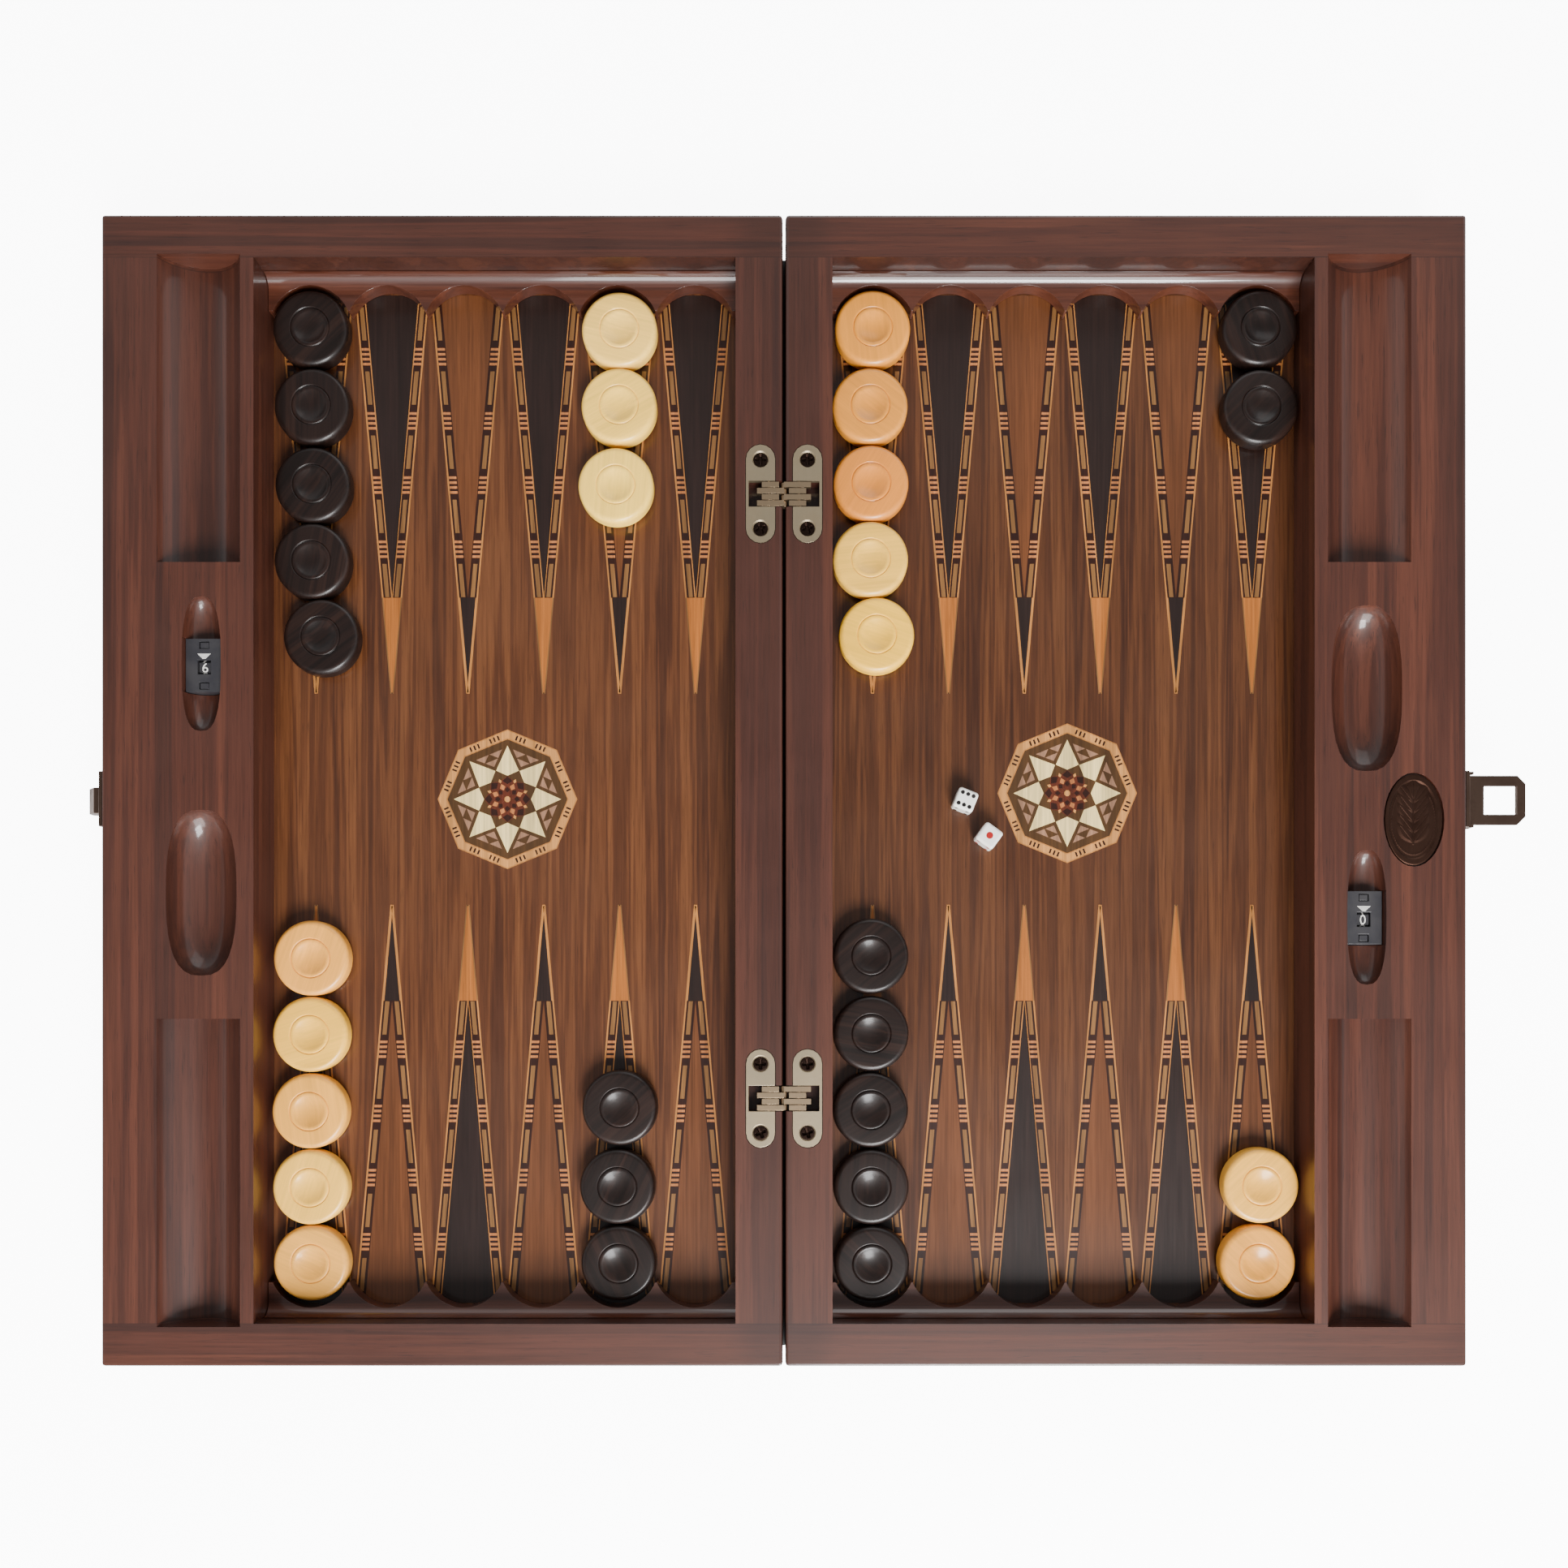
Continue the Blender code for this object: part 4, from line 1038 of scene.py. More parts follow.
# ---------------------------------------------------------------- cases
@dataclass
class Case:
    """The rails and the tray of one half, with the scalloped strips at both ends."""

    side: str
    rail_start: float = 245.2 * MM
    round_width: float = 0.5 * MM

    def finish(self) -> WoodFinish:
        """Dark reddish brown hardwood under a satin lacquer."""
        return WoodFinish(
            "case_wood", linear(44, 20, 13), linear(62, 30, 19), linear(80, 42, 28),
            streaks=70.0, rings=0.12, pores=0.5, fibre_depth=0.8, roughness=0.50, coat=0.45,
            coat_roughness=0.12, grain=Grain.RAILS, rail_start=self.rail_start, stain=0.4,
        )

    def strip_finish(self) -> WoodFinish:
        """The strips' wood: glossier, with its grain across the board."""
        return replace(
            self.finish(), name="scallop_wood", pores=0.4, roughness=0.40, coat=0.9,
            coat_roughness=0.08, rail_start=0.01, stain=0.0,
        )

    def build(self, shop: Shop) -> None:
        """Ease the edges of the case and of its strips, and dress them."""
        names = (
            (f"{self.side}_case", self.finish()),
            (f"{self.side}_top_scallop", self.strip_finish()),
            (f"{self.side}_bottom_scallop", self.strip_finish()),
        )
        for node, finish in names:
            piece = merged_copy(node, f"{node}_eased", self.round_width)
            shop.place(piece, finish, f"{self.side}_half", "case_wood", [node])


# ---------------------------------------------------------------- checkers and dice
class Tone(Enum):
    """The two sets of checkers."""

    DARK = "dark"
    LIGHT = "light"


@dataclass
class Checkers:
    """Thirty turned discs with a ring cut into both faces."""

    steps: int = 96
    round_width: float = 2.6 * MM
    ring: float = 9.15 * MM
    ring_width: float = 0.45 * MM
    ring_depth: float = 0.45 * MM
    hollow: float = 7.7 * MM
    dish: float = 1.8 * MM
    seed: int = 11
    # colour of each light checker, in the order of their numbers
    light_tones: tuple[tuple[int, int, int], ...] = (
        (246, 198, 92), (244, 196, 80), (248, 202, 84),
        (226, 160, 66), (238, 182, 72), (226, 158, 60), (236, 178, 60), (224, 154, 62),
        (214, 138, 44), (210, 136, 46), (208, 128, 44), (236, 182, 68), (240, 184, 52),
        (224, 152, 56), (230, 168, 64),
    )

    def profile(self, radius: float, thickness: float) -> np.ndarray:
        """Radius and height from the middle of the lower face to that of the upper face.

        A face is a finger hollow, height h(r) = half - dish·(1 - (r/hollow)²), a narrow
        land, a rounded groove at the ring, and a flat land that turns into the rounded rim.

        Args:
            radius: Radius of a checker.
            thickness: Height of a checker.
        Returns:
            The closed profile, about the middle of the checker.
        """
        half = thickness / 2
        inner = self.ring - self.ring_width
        hollow = np.linspace(0.0, self.hollow, 14)
        hollow = np.stack((hollow, half - self.dish * (1 - (hollow / self.hollow) ** 2)), axis=-1)
        hollow = np.concatenate((hollow, ((inner, half),)))
        share = np.linspace(-1.0, 1.0, 9)
        groove = np.stack(
            (self.ring + self.ring_width * share,
             half - self.ring_depth * np.cos(share * math.pi / 2) ** 2), axis=-1,
        )
        land = np.array(((self.ring + self.ring_width + 0.25 * MM, half),))
        turn = np.linspace(math.pi / 2, 0.0, 9)
        rim = np.stack(
            (radius - self.round_width * (1 - np.cos(turn)),
             half - self.round_width * (1 - np.sin(turn))), axis=-1,
        )
        upper = np.concatenate((hollow, groove[1:], land, rim))
        return np.concatenate((upper * (1.0, -1.0), upper[::-1]))

    def finish(self, tone: Tone, number: int) -> WoodFinish:
        """The wood of one checker."""
        if tone is Tone.DARK:
            return WoodFinish(
                "checker_dark", linear(15, 8, 6), linear(24, 14, 11), linear(36, 22, 17),
                streaks=120.0, rings=0.15, pores=0.3, roughness=0.42, coat=0.22,
                coat_roughness=0.2, specular=0.2, grain=Grain.OWN,
            )
        colour = linear(*self.light_tones[number - 1])
        return WoodFinish(
            f"checker_light_{number:02d}", scaled(colour, 0.86), colour, scaled(colour, 1.10),
            streaks=90.0, rings=0.10, pores=0.06, fibre_depth=0.35, roughness=0.36, coat=0.35,
            coat_roughness=0.2, grain=Grain.OWN,
        )

    def build_one(self, shop: Shop, node: str, turn: float, shift: float) -> None:
        """Turn one checker, in the place of its solid.

        Args:
            shop: Where materials come from.
            node: The solid.
            turn: How its grain lies, in radians.
            shift: Which piece of wood its grain comes from.
        """
        low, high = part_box(node)
        centre = np.array((low + high) / 2)
        radius, thickness = (high.x - low.x) / 2 - 0.02 * MM, high.z - low.z
        grid = turned_grid(self.profile(radius, thickness), centre, "Z", self.steps)
        piece = grid_mesh(f"{node}_turned", [grid], True)
        count = len(piece.data.vertices)
        places = np.empty(count * 3, dtype=np.float32)
        piece.data.vertices.foreach_get("co", places)
        local = places.reshape(-1, 3) - centre
        spun = np.stack(
            (local[:, 0] * math.cos(turn) - local[:, 1] * math.sin(turn),
             local[:, 0] * math.sin(turn) + local[:, 1] * math.cos(turn),
             local[:, 2] + shift), axis=-1,
        )
        grain = piece.data.attributes.new(GRAIN_PLACE, "FLOAT_VECTOR", "POINT")
        grain.data.foreach_set("vector", spun.ravel())
        tone = Tone.DARK if node.startswith("dark") else Tone.LIGHT
        shop.place(piece, self.finish(tone, int(node[-2:])), node, f"checker_{tone.value}", [node])

    def build(self, shop: Shop) -> None:
        """Turn all checkers, each with its own lie of grain."""
        names = sorted(name for name in frame["nodes"] if "_checker_" in name)
        chance = np.random.default_rng(self.seed)
        turns = chance.uniform(0.0, 2.0 * math.pi, len(names))
        shifts = chance.uniform(0.5, 3.0, len(names))
        for name, turn, shift in zip(names, turns, shifts):
            self.build_one(shop, name, float(turn), float(shift))


@dataclass
class Die:
    """A white die with dished pips, lying where its solid lies."""

    node: str
    top: int
    turn: float
    pip_colour: tuple[int, int, int] = (22, 18, 18)
    size: float = 10.0 * MM
    round_share: float = 0.15
    pip_radius: float = 0.98 * MM
    big_radius: float = 1.65 * MM
    pip_pitch: float = 2.7 * MM
    pip_stand: float = 0.05 * MM

    def faces(self) -> tuple[int, ...]:
        """Numbers on the top, bottom, +X, -X, +Y and -Y faces; opposite faces add to seven."""
        side = 2 if self.top not in (2, 5) else 1
        front = 3 if self.top not in (3, 4) else 1
        return self.top, 7 - self.top, side, 7 - side, front, 7 - front

    def spots(self, number: int) -> np.ndarray:
        """Places of a number's pips in units of the pitch."""
        layout = {
            1: ((0, 0),), 2: ((-1, -1), (1, 1)), 3: ((-1, -1), (0, 0), (1, 1)),
            4: ((-1, -1), (-1, 1), (1, -1), (1, 1)),
            5: ((-1, -1), (-1, 1), (1, -1), (1, 1), (0, 0)),
            6: ((-1, -1), (0, -1), (1, -1), (-1, 1), (0, 1), (1, 1)),
        }
        return np.array(layout[number], dtype=float)

    def body_grid(self) -> list[np.ndarray]:
        """The rounded cube: each face is a grid pushed out to a superellipsoid.

        A point p of the cube [-1, 1]³ is split into an inner cube of half 1 - r and a
        rest; the rest is given length r, which rounds every edge by r.

        Returns:
            Six grids of places, about the middle of the die.
        """
        line = np.linspace(-1.0, 1.0, 25)
        u, v = np.meshgrid(line, line, indexing="ij")
        r = 2 * self.round_share
        grids = []
        for axis in range(3):
            for way in (1.0, -1.0):
                cube = np.empty((*u.shape, 3))
                cube[..., axis] = way
                cube[..., (axis + 1) % 3] = u
                cube[..., (axis + 2) % 3] = v
                inner = np.clip(cube, -(1 - r), 1 - r)
                rest = cube - inner
                length = np.linalg.norm(rest, axis=-1, keepdims=True)
                grids.append((inner + rest / length * r) * (self.size / 2 - self.pip_stand))
        return grids

    def turned(self, points: np.ndarray, centre: np.ndarray) -> np.ndarray:
        """Points turned about the upright axis and moved to the die's place."""
        c, s = math.cos(self.turn), math.sin(self.turn)
        spin = np.array(((c, -s, 0.0), (s, c, 0.0), (0.0, 0.0, 1.0)))
        return points @ spin.T + centre

    def pip_grid(self, radius: float) -> np.ndarray:
        """A shallow cap, height stand·(1 - (r/R)²)^½ over the face, closed underneath."""
        share = np.sin(np.linspace(0.0, math.pi / 2, 7))
        height = self.pip_stand * np.sqrt(np.clip(1 - share ** 2, 0.0, 1.0))
        cap = np.stack((radius * share, height), axis=-1)
        under = np.array(((radius, -0.3 * MM), (0.0, -0.3 * MM)))
        return turned_grid(np.concatenate((cap, under)), (0.0, 0.0, 0.0), "Z", 24)

    def build(self, shop: Shop) -> None:
        """Mould the die and fill its pips."""
        low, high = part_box(self.node)
        centre = np.array((low + high) / 2)
        grids = [self.turned(g, centre) for g in self.body_grid()]
        body = grid_mesh(f"{self.node}_moulded", grids, False)
        white = PlasticFinish(
            "die_white", linear(236, 234, 226), linear(206, 198, 184), roughness=0.22,
            dust_share=0.25, texture=0.08, coat=0.4,
        )
        shop.place(body, white, self.node, "die_white", [self.node])
        pips = []
        axes = ((2, 1.0), (2, -1.0), (0, 1.0), (0, -1.0), (1, 1.0), (1, -1.0))
        for number, (axis, way) in zip(self.faces(), axes):
            radius = self.big_radius if number == 1 else self.pip_radius
            for spot in self.spots(number) * self.pip_pitch:
                grid = self.pip_grid(radius)
                placed = np.empty_like(grid)
                placed[..., axis] = way * (grid[..., 2] + self.size / 2 - self.pip_stand)
                placed[..., (axis + 1) % 3] = grid[..., 0] + spot[0]
                placed[..., (axis + 2) % 3] = grid[..., 1] + spot[1]
                pips.append(self.turned(placed, centre))
        piece = grid_mesh(f"{self.node}_pips", pips, True)
        paint = PlasticFinish(
            f"{self.node}_pip_paint", linear(*self.pip_colour), linear(90, 84, 80),
            roughness=0.3, dust_share=0.15,
        )
        shop.place(piece, paint, self.node)


# ---------------------------------------------------------------- hinges
@dataclass(frozen=True)
class Bronze(MetalFinish):
    """Brushed nickel bronze of the hinge leaves."""

    name: str = "hinge_bronze"
    colour: Point = linear(180, 164, 136)
    tarnish: Point = linear(134, 116, 90)
    roughness: float = 0.36
    tarnish_share: float = 0.4


@dataclass
class Screw:
    """A countersunk cross-head screw, worked out on a polar grid."""

    radius: float = 3.75 * MM
    depth: float = 2.1 * MM
    shank: float = 1.4 * MM
    arm: float = 2.3 * MM
    arm_width: float = 0.62 * MM
    recess: float = 1.3 * MM
    soft: float = 0.28 * MM

    def grid(self, centre: Point, turn: float, rings: int = 30, steps: int = 96) -> np.ndarray:
        """The head and its cone.

        The top is z = -recess·max over two crossed bars of a smooth step that is one
        inside a bar |across| < width and along < arm; below it is a cone to the shank.

        Args:
            centre: Middle of the head's top.
            turn: How the cross lies, in radians.
            rings: Points from the middle to the rim.
            steps: Points round it.
        Returns:
            The closed surface.
        """
        share = np.linspace(0.0, 1.0, rings)[:, None]
        angle = np.linspace(0.0, 2.0 * math.pi, steps, endpoint=False)[None, :]
        radius = self.radius * share
        x, y = radius * np.cos(angle), radius * np.sin(angle)
        along = np.cos(turn) * x + np.sin(turn) * y
        across = -np.sin(turn) * x + np.cos(turn) * y
        soft = self.soft

        def bar(length: np.ndarray, width: np.ndarray) -> np.ndarray:
            """One inside a bar, falling to nothing over a soft edge."""
            inside = np.clip((self.arm_width - np.abs(width)) / soft + 0.5, 0.0, 1.0)
            return inside * np.clip((self.arm - np.abs(length)) / (2.2 * soft) + 0.5, 0.0, 1.0)

        cross = np.maximum(bar(along, across), bar(across, along))
        slope = 1.0 - 0.35 * np.hypot(x, y) / self.arm
        z = -self.recess * cross * np.clip(slope, 0.3, 1.0) - 0.25 * MM * share ** 6
        top = np.stack((x, y, z), axis=-1)
        cone = np.array(
            ((self.radius, -0.35 * MM), (self.shank, -self.depth),
             (self.shank, -self.depth - 3 * MM),
             (0.0, -self.depth - 3 * MM))
        )
        below = turned_grid(cone, (0.0, 0.0, 0.0), "Z", steps)
        return np.concatenate((top, below)) + np.array(centre)


@dataclass
class Hinge:
    """One concealed link hinge: two leaves, four screws and two link packs."""

    name: str
    screw_spacing: float = 31.7 * MM
    screw_drop: float = 0.6 * MM

    def build(self, shop: Shop) -> None:
        """Ease the leaves, drive the screws and dress the links."""
        screw = Screw()
        dark = MetalFinish(
            "screw_dark", linear(46, 34, 29), linear(24, 15, 12), roughness=0.36,
            tarnish_share=0.6,
        )
        steel = MetalFinish(
            "link_steel", linear(168, 146, 118), linear(112, 88, 66), roughness=0.33,
            tarnish_share=0.35, brush=1.4,
        )
        chance = np.random.default_rng(len(self.name))
        for hand, side in ((-1.0, "left"), (1.0, "right")):
            leaf = f"{self.name}_{side}_leaf"
            low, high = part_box(leaf)
            piece = merged_copy(leaf, f"{leaf}_eased", 0.25 * MM, 3)
            shop.place(piece, Bronze(), f"{side}_half", "hinge_bronze", [leaf])
            x = (low.x + high.x) / 2
            y = (low.y + high.y) / 2
            heads = [
                screw.grid((x, y + way * self.screw_spacing / 2, high.z - self.screw_drop),
                           float(chance.uniform(0, math.pi)))
                for way in (-1.0, 1.0)
            ]
            screws = grid_mesh(f"{self.name}_{side}_screws", heads, True)
            shop.place(screws, dark, f"{side}_half", "hinge_bronze")
            link = f"{self.name}_{side}_link"
            eased = merged_copy(link, f"{link}_eased", 0.18 * MM, 2)
            shop.place(eased, steel, link, "link_steel", [link])


# ---------------------------------------------------------------- latch and badge
@dataclass
class Latch:
    """The bracket, the swinging loop and the catch, in satin dark bronze."""

    finish: MetalFinish = MetalFinish(
        "latch_bronze", linear(92, 74, 64), linear(46, 34, 28), roughness=0.36,
        tarnish_share=0.5, brush=0.8,
    )

    def build(self, shop: Shop) -> None:
        """Ease and dress the three castings."""
        for node, body in (("latch_bracket", "right_half"), ("latch_loop", "latch_loop"),
                           ("latch_catch", "left_half")):
            piece = merged_copy(node, f"{node}_eased", 0.35 * MM, 3)
            shop.place(piece, self.finish, body, "latch_bronze", [node])


@dataclass
class Badge:
    """An oval plate with a raised rim and a sprig of leaves in relief."""

    rim: float = 0.55 * MM
    leaf_pairs: int = 5
    rings: int = 120
    steps: int = 288

    def relief(self, x: np.ndarray, y: np.ndarray, half_x: float, half_y: float) -> np.ndarray:
        """Height over the plate's ground.

        With s = |(x/a, y/b)|, the rim is one where s > 0.84, and a beaded line runs at
        0.76.  Each leaf is a pointed oval (1 - (u/L)² - |w|/W) in its own axes u along
        and w across, with a vein; the stem is a thin bar along Y.

        Args:
            x, y: Places on the plate.
            half_x, half_y: Half sizes of the oval.
        Returns:
            Heights in metres, at most the rim's.
        """
        reach = np.hypot(x / half_x, y / half_y)
        height = np.clip((reach - 0.84) / 0.04, 0.0, 1.0) * self.rim
        beads = 0.5 + 0.5 * np.cos(np.arctan2(y / half_y, x / half_x) * 72)
        line = np.clip(1.0 - np.abs(reach - 0.765) / 0.03, 0.0, 1.0)
        height = np.maximum(height, line * (0.4 + 0.6 * beads) * 0.22 * MM)
        stem = np.clip(1.2 - np.abs(x) / (0.35 * MM), 0.0, 1.0) * (np.abs(y) < 0.55 * half_y)
        height = np.maximum(height, stem * 0.2 * MM)
        starts = np.linspace(-0.52, 0.36, self.leaf_pairs) * half_y
        leaves = [(hand, start, 52.0) for start in starts for hand in (-1.0, 1.0)]
        leaves.append((1.0, 0.42 * half_y, 90.0))
        for hand, start, angle in leaves:
            turn = math.radians(angle)
            along = hand * x * math.cos(turn) + (y - start) * math.sin(turn)
            across = -hand * x * math.sin(turn) + (y - start) * math.cos(turn)
            length = 0.46 * half_x
            u = (along - length) / length
            shape = 1.0 - u ** 2 - np.abs(across) / (0.22 * half_x)
            vein = 1.0 - 0.45 * np.clip(1.0 - np.abs(across) / (0.25 * MM), 0.0, 1.0)
            leaf = np.clip(shape * 2.2, 0.0, 1.0) * vein
            height = np.maximum(height, leaf * 0.36 * MM)
        return height

    def build(self, shop: Shop) -> None:
        """Cast the plate on a polar grid: a top with relief, an edge and a flat back."""
        low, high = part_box("badge")
        centre = np.array(((low.x + high.x) / 2, (low.y + high.y) / 2, 0.0))
        half_x, half_y = (high.x - low.x) / 2, (high.y - low.y) / 2
        share = np.linspace(0.0, 1.0, self.rings)[:, None]
        angle = np.linspace(0.0, 2.0 * math.pi, self.steps, endpoint=False)[None, :]
        x, y = half_x * share * np.cos(angle), half_y * share * np.sin(angle)
        ground = high.z - self.rim
        edge = 0.18 * MM * np.clip((share - 0.97) / 0.03, 0.0, 1.0) ** 2
        top = np.stack((x, y, ground + self.relief(x, y, half_x, half_y) - edge), axis=-1)
        rim_x, rim_y = half_x * np.cos(angle), half_y * np.sin(angle)
        back_share = np.array((1.0, 0.0))[:, None]
        back = np.stack(
            (rim_x * back_share, rim_y * back_share, np.full((2, self.steps), low.z)), axis=-1
        )
        piece = grid_mesh("badge_cast", [np.concatenate((top, back)) + centre], True)
        bronze = MetalFinish(
            "badge_bronze", linear(64, 45, 37), linear(34, 20, 15), roughness=0.42,
            tarnish_share=0.6, brush=0.6,
        )
        shop.place(piece, bronze, "right_half", "badge_bronze", ["badge"])


# ---------------------------------------------------------------- counters
@dataclass
class Counter:
    """A one-digit counter: housing, pointer, digit wheel and two push buttons."""

    side: str
    digit: int
    wheel_radius: float = 7.2 * MM
    wheel_half: float = 2.7 * MM
    axle_radius: float = 1.2 * MM
    digit_height: float = 4.4 * MM
    digit_relief: float = 0.05 * MM
    pointer_width: float = 6.0 * MM
    pointer_height: float = 2.5 * MM
    black: PlasticFinish = PlasticFinish(
        "counter_black", linear(36, 35, 39), linear(92, 88, 84), roughness=0.42,
        dust_share=0.12, texture=0.3,
    )
    white: PlasticFinish = PlasticFinish(
        "digit_white", linear(226, 224, 218), linear(170, 160, 148), roughness=0.5,
        dust_share=0.2, texture=0.1,
    )

    def drum(self, shop: Shop, wheel: str, axis: np.ndarray, reach: float) -> None:
        """The wheel: ten flats round X, with stub axles.

        A profile of (radius, place along X) is carried round ten corners at 36°·k from
        +Y, so that a flat faces up.

        Args:
            shop: Where materials come from.
            wheel: The wheel's solid.
            axis: Middle of the wheel.
            reach: Half of the wheel's size along X with its axles.
        """
        face, axle, rim = self.wheel_half, self.axle_radius, self.wheel_radius
        profile = np.array(
            ((0.0, -reach), (axle, -reach), (axle, -face), (rim, -face),
             (rim, face), (axle, face), (axle, reach), (0.0, reach))
        )
        grid = turned_grid(profile, axis, "X", 10)
        piece = grid_mesh(f"{wheel}_drum", [grid], True)
        shop.place(piece, self.black, wheel, "counter_black", [wheel])

    def digits(self, shop: Shop, wheel: str, axis: np.ndarray) -> None:
        """White digits on the flats, the shown one on top.

        Each digit's outline is given a small thickness and lies at the flats' distance
        from the axis, turned about X by 36° for each step away from the shown one.

        Args:
            shop: Where materials come from.
            wheel: The wheel's body.
            axis: Middle of the wheel.
        """
        points, faces, start = [], [], 0
        flat = self.wheel_radius * math.cos(math.radians(18.0))
        for step in range(10):
            text = bpy.data.curves.new(f"{wheel}_text_{step}", "FONT")
            text.body = str((self.digit + step) % 10)
            text.size = self.digit_height / 0.7
            text.align_x, text.align_y = "CENTER", "CENTER"
            text.extrude = self.digit_relief
            text.resolution_u = 4
            holder = new_object(f"{wheel}_text_{step}", text)
            mesh = bpy.data.meshes.new_from_object(holder)
            places = np.empty(len(mesh.vertices) * 3)
            mesh.vertices.foreach_get("co", places)
            flat_places = places.reshape(-1, 3)
            middle = (flat_places.max(axis=0) + flat_places.min(axis=0)) / 2
            flat_places = flat_places - (middle[0], middle[1], 0.0)
            flat_places[:, 2] += flat
            turn = math.radians(-36.0 * step)
            y = flat_places[:, 1] * math.cos(turn) - flat_places[:, 2] * math.sin(turn)
            z = flat_places[:, 1] * math.sin(turn) + flat_places[:, 2] * math.cos(turn)
            points.append(np.stack((flat_places[:, 0], y, z), axis=-1) + axis)
            faces += [[start + i for i in polygon.vertices] for polygon in mesh.polygons]
            start += len(flat_places)
            bpy.data.objects.remove(holder)
            bpy.data.meshes.remove(mesh)
            bpy.data.curves.remove(text)
        mesh = bpy.data.meshes.new(f"{wheel}_digits")
        mesh.from_pydata(np.concatenate(points).tolist(), [], faces)
        piece = new_object(f"{wheel}_digits", tidy_mesh(mesh, 1e-8))
        shop.place(piece, self.white, wheel)

    def pointer(self, shop: Shop, body: str, middle: Point, top: float) -> None:
        """A hatched pointer over the window: seven thin bars whose lengths shrink downwards."""
        rows = 7
        share = np.arange(rows) / (rows - 1)
        half = self.pointer_width / 2 * (1.0 - 0.72 * share)
        pitch = self.pointer_height / rows
        y = middle[1] + 5.4 * MM - pitch * np.arange(rows)
        low, high = y - 0.62 * pitch, y
        outline = np.stack(
            (np.stack((-half, low), axis=-1), np.stack((half, low), axis=-1),
             np.stack((half, high), axis=-1), np.stack((-half, high), axis=-1)), axis=1,
        )
        outline[..., 0] += middle[0]
        points, faces = prisms(outline, top - 0.15 * MM, top + 0.03 * MM)
        mesh = bpy.data.meshes.new(f"{self.side}_counter_pointer")
        mesh.from_pydata(points.tolist(), [], faces)
        piece = new_object(mesh.name, mesh)
        shop.place(piece, self.white, body)

    def build(self, shop: Shop) -> None:
        """Mould the housing and its buttons and make the wheel."""
        body = f"{self.side}_half"
        housing = f"{self.side}_counter_housing"
        piece = merged_copy(housing, f"{housing}_moulded", 0.35 * MM, 3)
        shop.place(piece, self.black, body, "counter_black", [housing])
        wheel = f"{self.side}_digit_wheel"
        low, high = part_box(wheel)
        axis = np.array(JOINTS[f"{wheel}_turn"]["pos_m"])
        axis[0] = (low.x + high.x) / 2
        self.drum(shop, wheel, axis, (high.x - low.x) / 2)
        self.digits(shop, wheel, axis)
        low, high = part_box(housing)
        middle = ((low.x + high.x) / 2, (low.y + high.y) / 2)
        self.pointer(shop, body, middle, high.z)
        for button in ("plus", "minus"):
            node = f"{self.side}_{button}_button"
            cap = merged_copy(node, f"{node}_cap", 0.3 * MM, 3)
            shop.place(cap, self.black, node, "counter_black", [node])


# ---------------------------------------------------------------- studio
@dataclass(frozen=True)
class Lamp:
    """A square area light that looks at the origin."""

    name: str
    place: tuple[float, float, float]
    size: float
    power: float

    def build(self) -> None:
        """Hang the light."""
        data = bpy.data.lights.new(self.name, "AREA")
        data.size = self.size
        data.energy = self.power
        lamp = bpy.data.objects.new(self.name, data)
        bpy.context.scene.collection.objects.link(lamp)
        x, y, z = self.place
        lamp.location = self.place
        lamp.rotation_euler = (math.atan2(math.hypot(x, y), z), 0.0, math.atan2(x, -y))


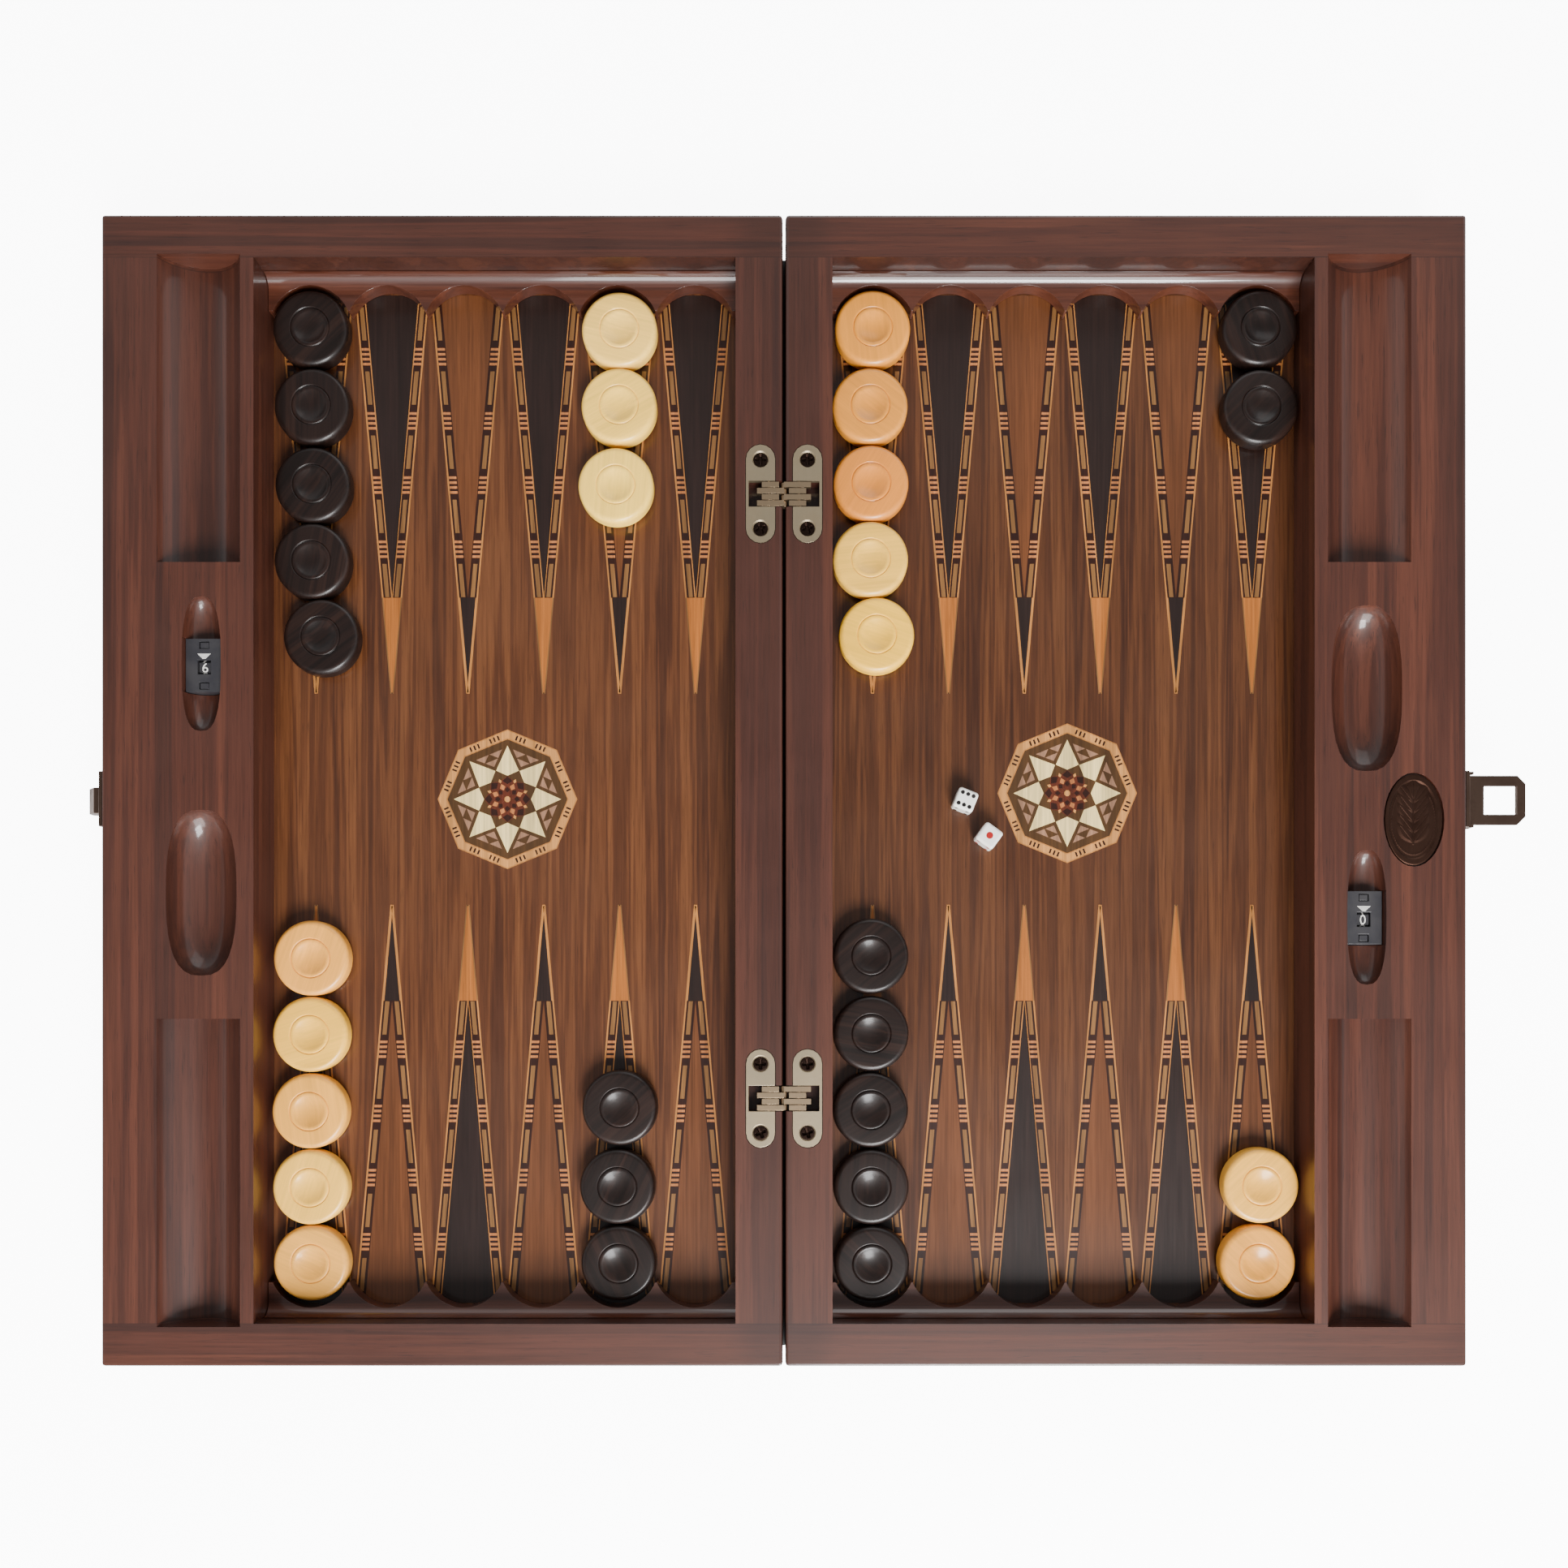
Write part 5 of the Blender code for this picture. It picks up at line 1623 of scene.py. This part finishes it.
@dataclass
class Studio:
    """Pale floor, soft light from the lower end, and the camera straight above."""

    lamps: tuple[Lamp, ...] = (
        Lamp("window", (0.45, -1.5, 1.5), 0.8, 92.0),
        Lamp("low_strip", (0.2, -2.3, 1.0), 1.5, 90.0),
        Lamp("far_fill", (0.5, 1.9, 1.0), 1.4, 10.0),
    )
    sky_low: float = 1.35
    sky_high: float = 0.35

    camera_place: tuple[float, float, float] = (FOLD_X, -0.103, 0.619)
    lens: float = 29.22
    shift_y: float = 0.147
    floor_size: float = 6.0
    floor_glow: float = 9.0
    floor_reflected: float = 0.1
    # the painted shadow on the floor along the fold: full near the fold, fading out by the second
    # width, and left off beyond the end along Y
    gap_dark: float = 2.0 * MM
    gap_light: float = 30.0 * MM
    gap_end: float = 264.0 * MM

    def floor(self) -> None:
        """A wide flat floor under the set, just below the table plane.

        It carries a painted shadow in a strip along the fold, in both its colour and its glow, so
        that the narrow gap between the halves reads dark from above; this painted shadow shows
        beside the board when it is closed.  It glows less for what the surfaces mirror than for
        the camera, so that the outer walls are not washed out.
        """
        half = self.floor_size / 2
        low = -0.3 * MM
        mesh = bpy.data.meshes.new("studio_floor")
        mesh.from_pydata(
            [(-half, -half, low), (half, -half, low), (half, half, low), (-half, half, low)],
            [], [(0, 1, 2, 3)],
        )
        floor = new_object("studio_floor", mesh)
        material = bpy.data.materials.new("studio_floor")
        material.use_nodes = True
        tree = Tree(material.node_tree)
        shader = material.node_tree.nodes["Principled BSDF"]
        place = tree.node("TexCoord").outputs["Object"]
        tone = tree.noise(place, 3.0, 3.0)
        colour = tree.ramp(tone, [(0.3, (0.86, 0.86, 0.87, 1.0)), (0.7, (0.90, 0.90, 0.90, 1.0))])
        shader.inputs["Roughness"].default_value = 0.7
        # painted shadow: the floor's colour and glow are darkened in a strip along the fold
        parts = tree.node("SeparateXYZ", {0: place})
        aside = tree.math("ABSOLUTE", tree.math("SUBTRACT", parts.outputs["X"], FOLD_X))
        lit = tree.span(aside, self.gap_dark, self.gap_light)
        shade = tree.mix(lit, (0.0, 0.0, 0.0, 1.0), (1.0, 1.0, 1.0, 1.0))
        beyond = tree.math(
            "GREATER_THAN", tree.math("ABSOLUTE", parts.outputs["Y"]), self.gap_end
        )
        shade = tree.mix(beyond, shade, (1.0, 1.0, 1.0, 1.0))
        seen = tree.node("LightPath").outputs["Is Camera Ray"]
        dim = (self.floor_reflected,) * 3 + (1.0,)
        level = tree.mix(seen, dim, (1.0, 1.0, 1.0, 1.0))
        tree.feed(shader.inputs["Emission Color"], tree.mix(1.0, shade, level, "MULTIPLY"))
        tree.feed(shader.inputs["Base Color"], tree.mix(1.0, colour, shade, "MULTIPLY"))
        shader.inputs["Emission Strength"].default_value = self.floor_glow
        floor.data.materials.append(material)

    def build(self) -> None:
        """Set up floor, lights, world and camera."""
        self.floor()
        for lamp in self.lamps:
            lamp.build()
        world = bpy.data.worlds.new("studio_world")
        world.use_nodes = True
        tree = Tree(world.node_tree)
        shade = world.node_tree.nodes["Background"]
        up = tree.node("SeparateXYZ", {0: tree.node("TexCoord").outputs["Generated"]})
        tree.feed(
            shade.inputs["Strength"],
            tree.span(up.outputs["Z"], 0.35, 0.85, self.sky_low, self.sky_high),
        )
        shade.inputs["Color"].default_value = (0.97, 0.98, 1.0, 1.0)
        bpy.context.scene.world = world
        data = bpy.data.cameras.new("camera")
        data.sensor_width = 36.0
        data.lens = self.lens
        data.shift_y = self.shift_y
        data.clip_start = 0.01
        camera = bpy.data.objects.new("camera", data)
        camera.location = self.camera_place
        bpy.context.scene.collection.objects.link(camera)
        bpy.context.scene.camera = camera


def main() -> None:
    """Build the whole set, piece by piece."""
    logging.basicConfig(level=logging.INFO, format="%(name)s: %(message)s")
    shop = Shop()
    Studio().build()
    parts = [
        Field("left", Medallion(centre=(-132.3 * MM, 0.0))),
        Field("right", Medallion(centre=(135.5 * MM, 2.87 * MM)), depth=0.8),
        Case("left"),
        Case("right"),
        Checkers(),
        Die("die_a", 6, math.radians(-21.7)),
        Die("die_b", 1, math.radians(-36.2), (150, 24, 22)),
        Hinge("upper_hinge"),
        Hinge("lower_hinge"),
        Latch(),
        Badge(),
        Counter("left", 6),
        Counter("right", 0),
    ]
    for part in parts:
        part.build(shop)


if __name__ == "__main__":
    main()
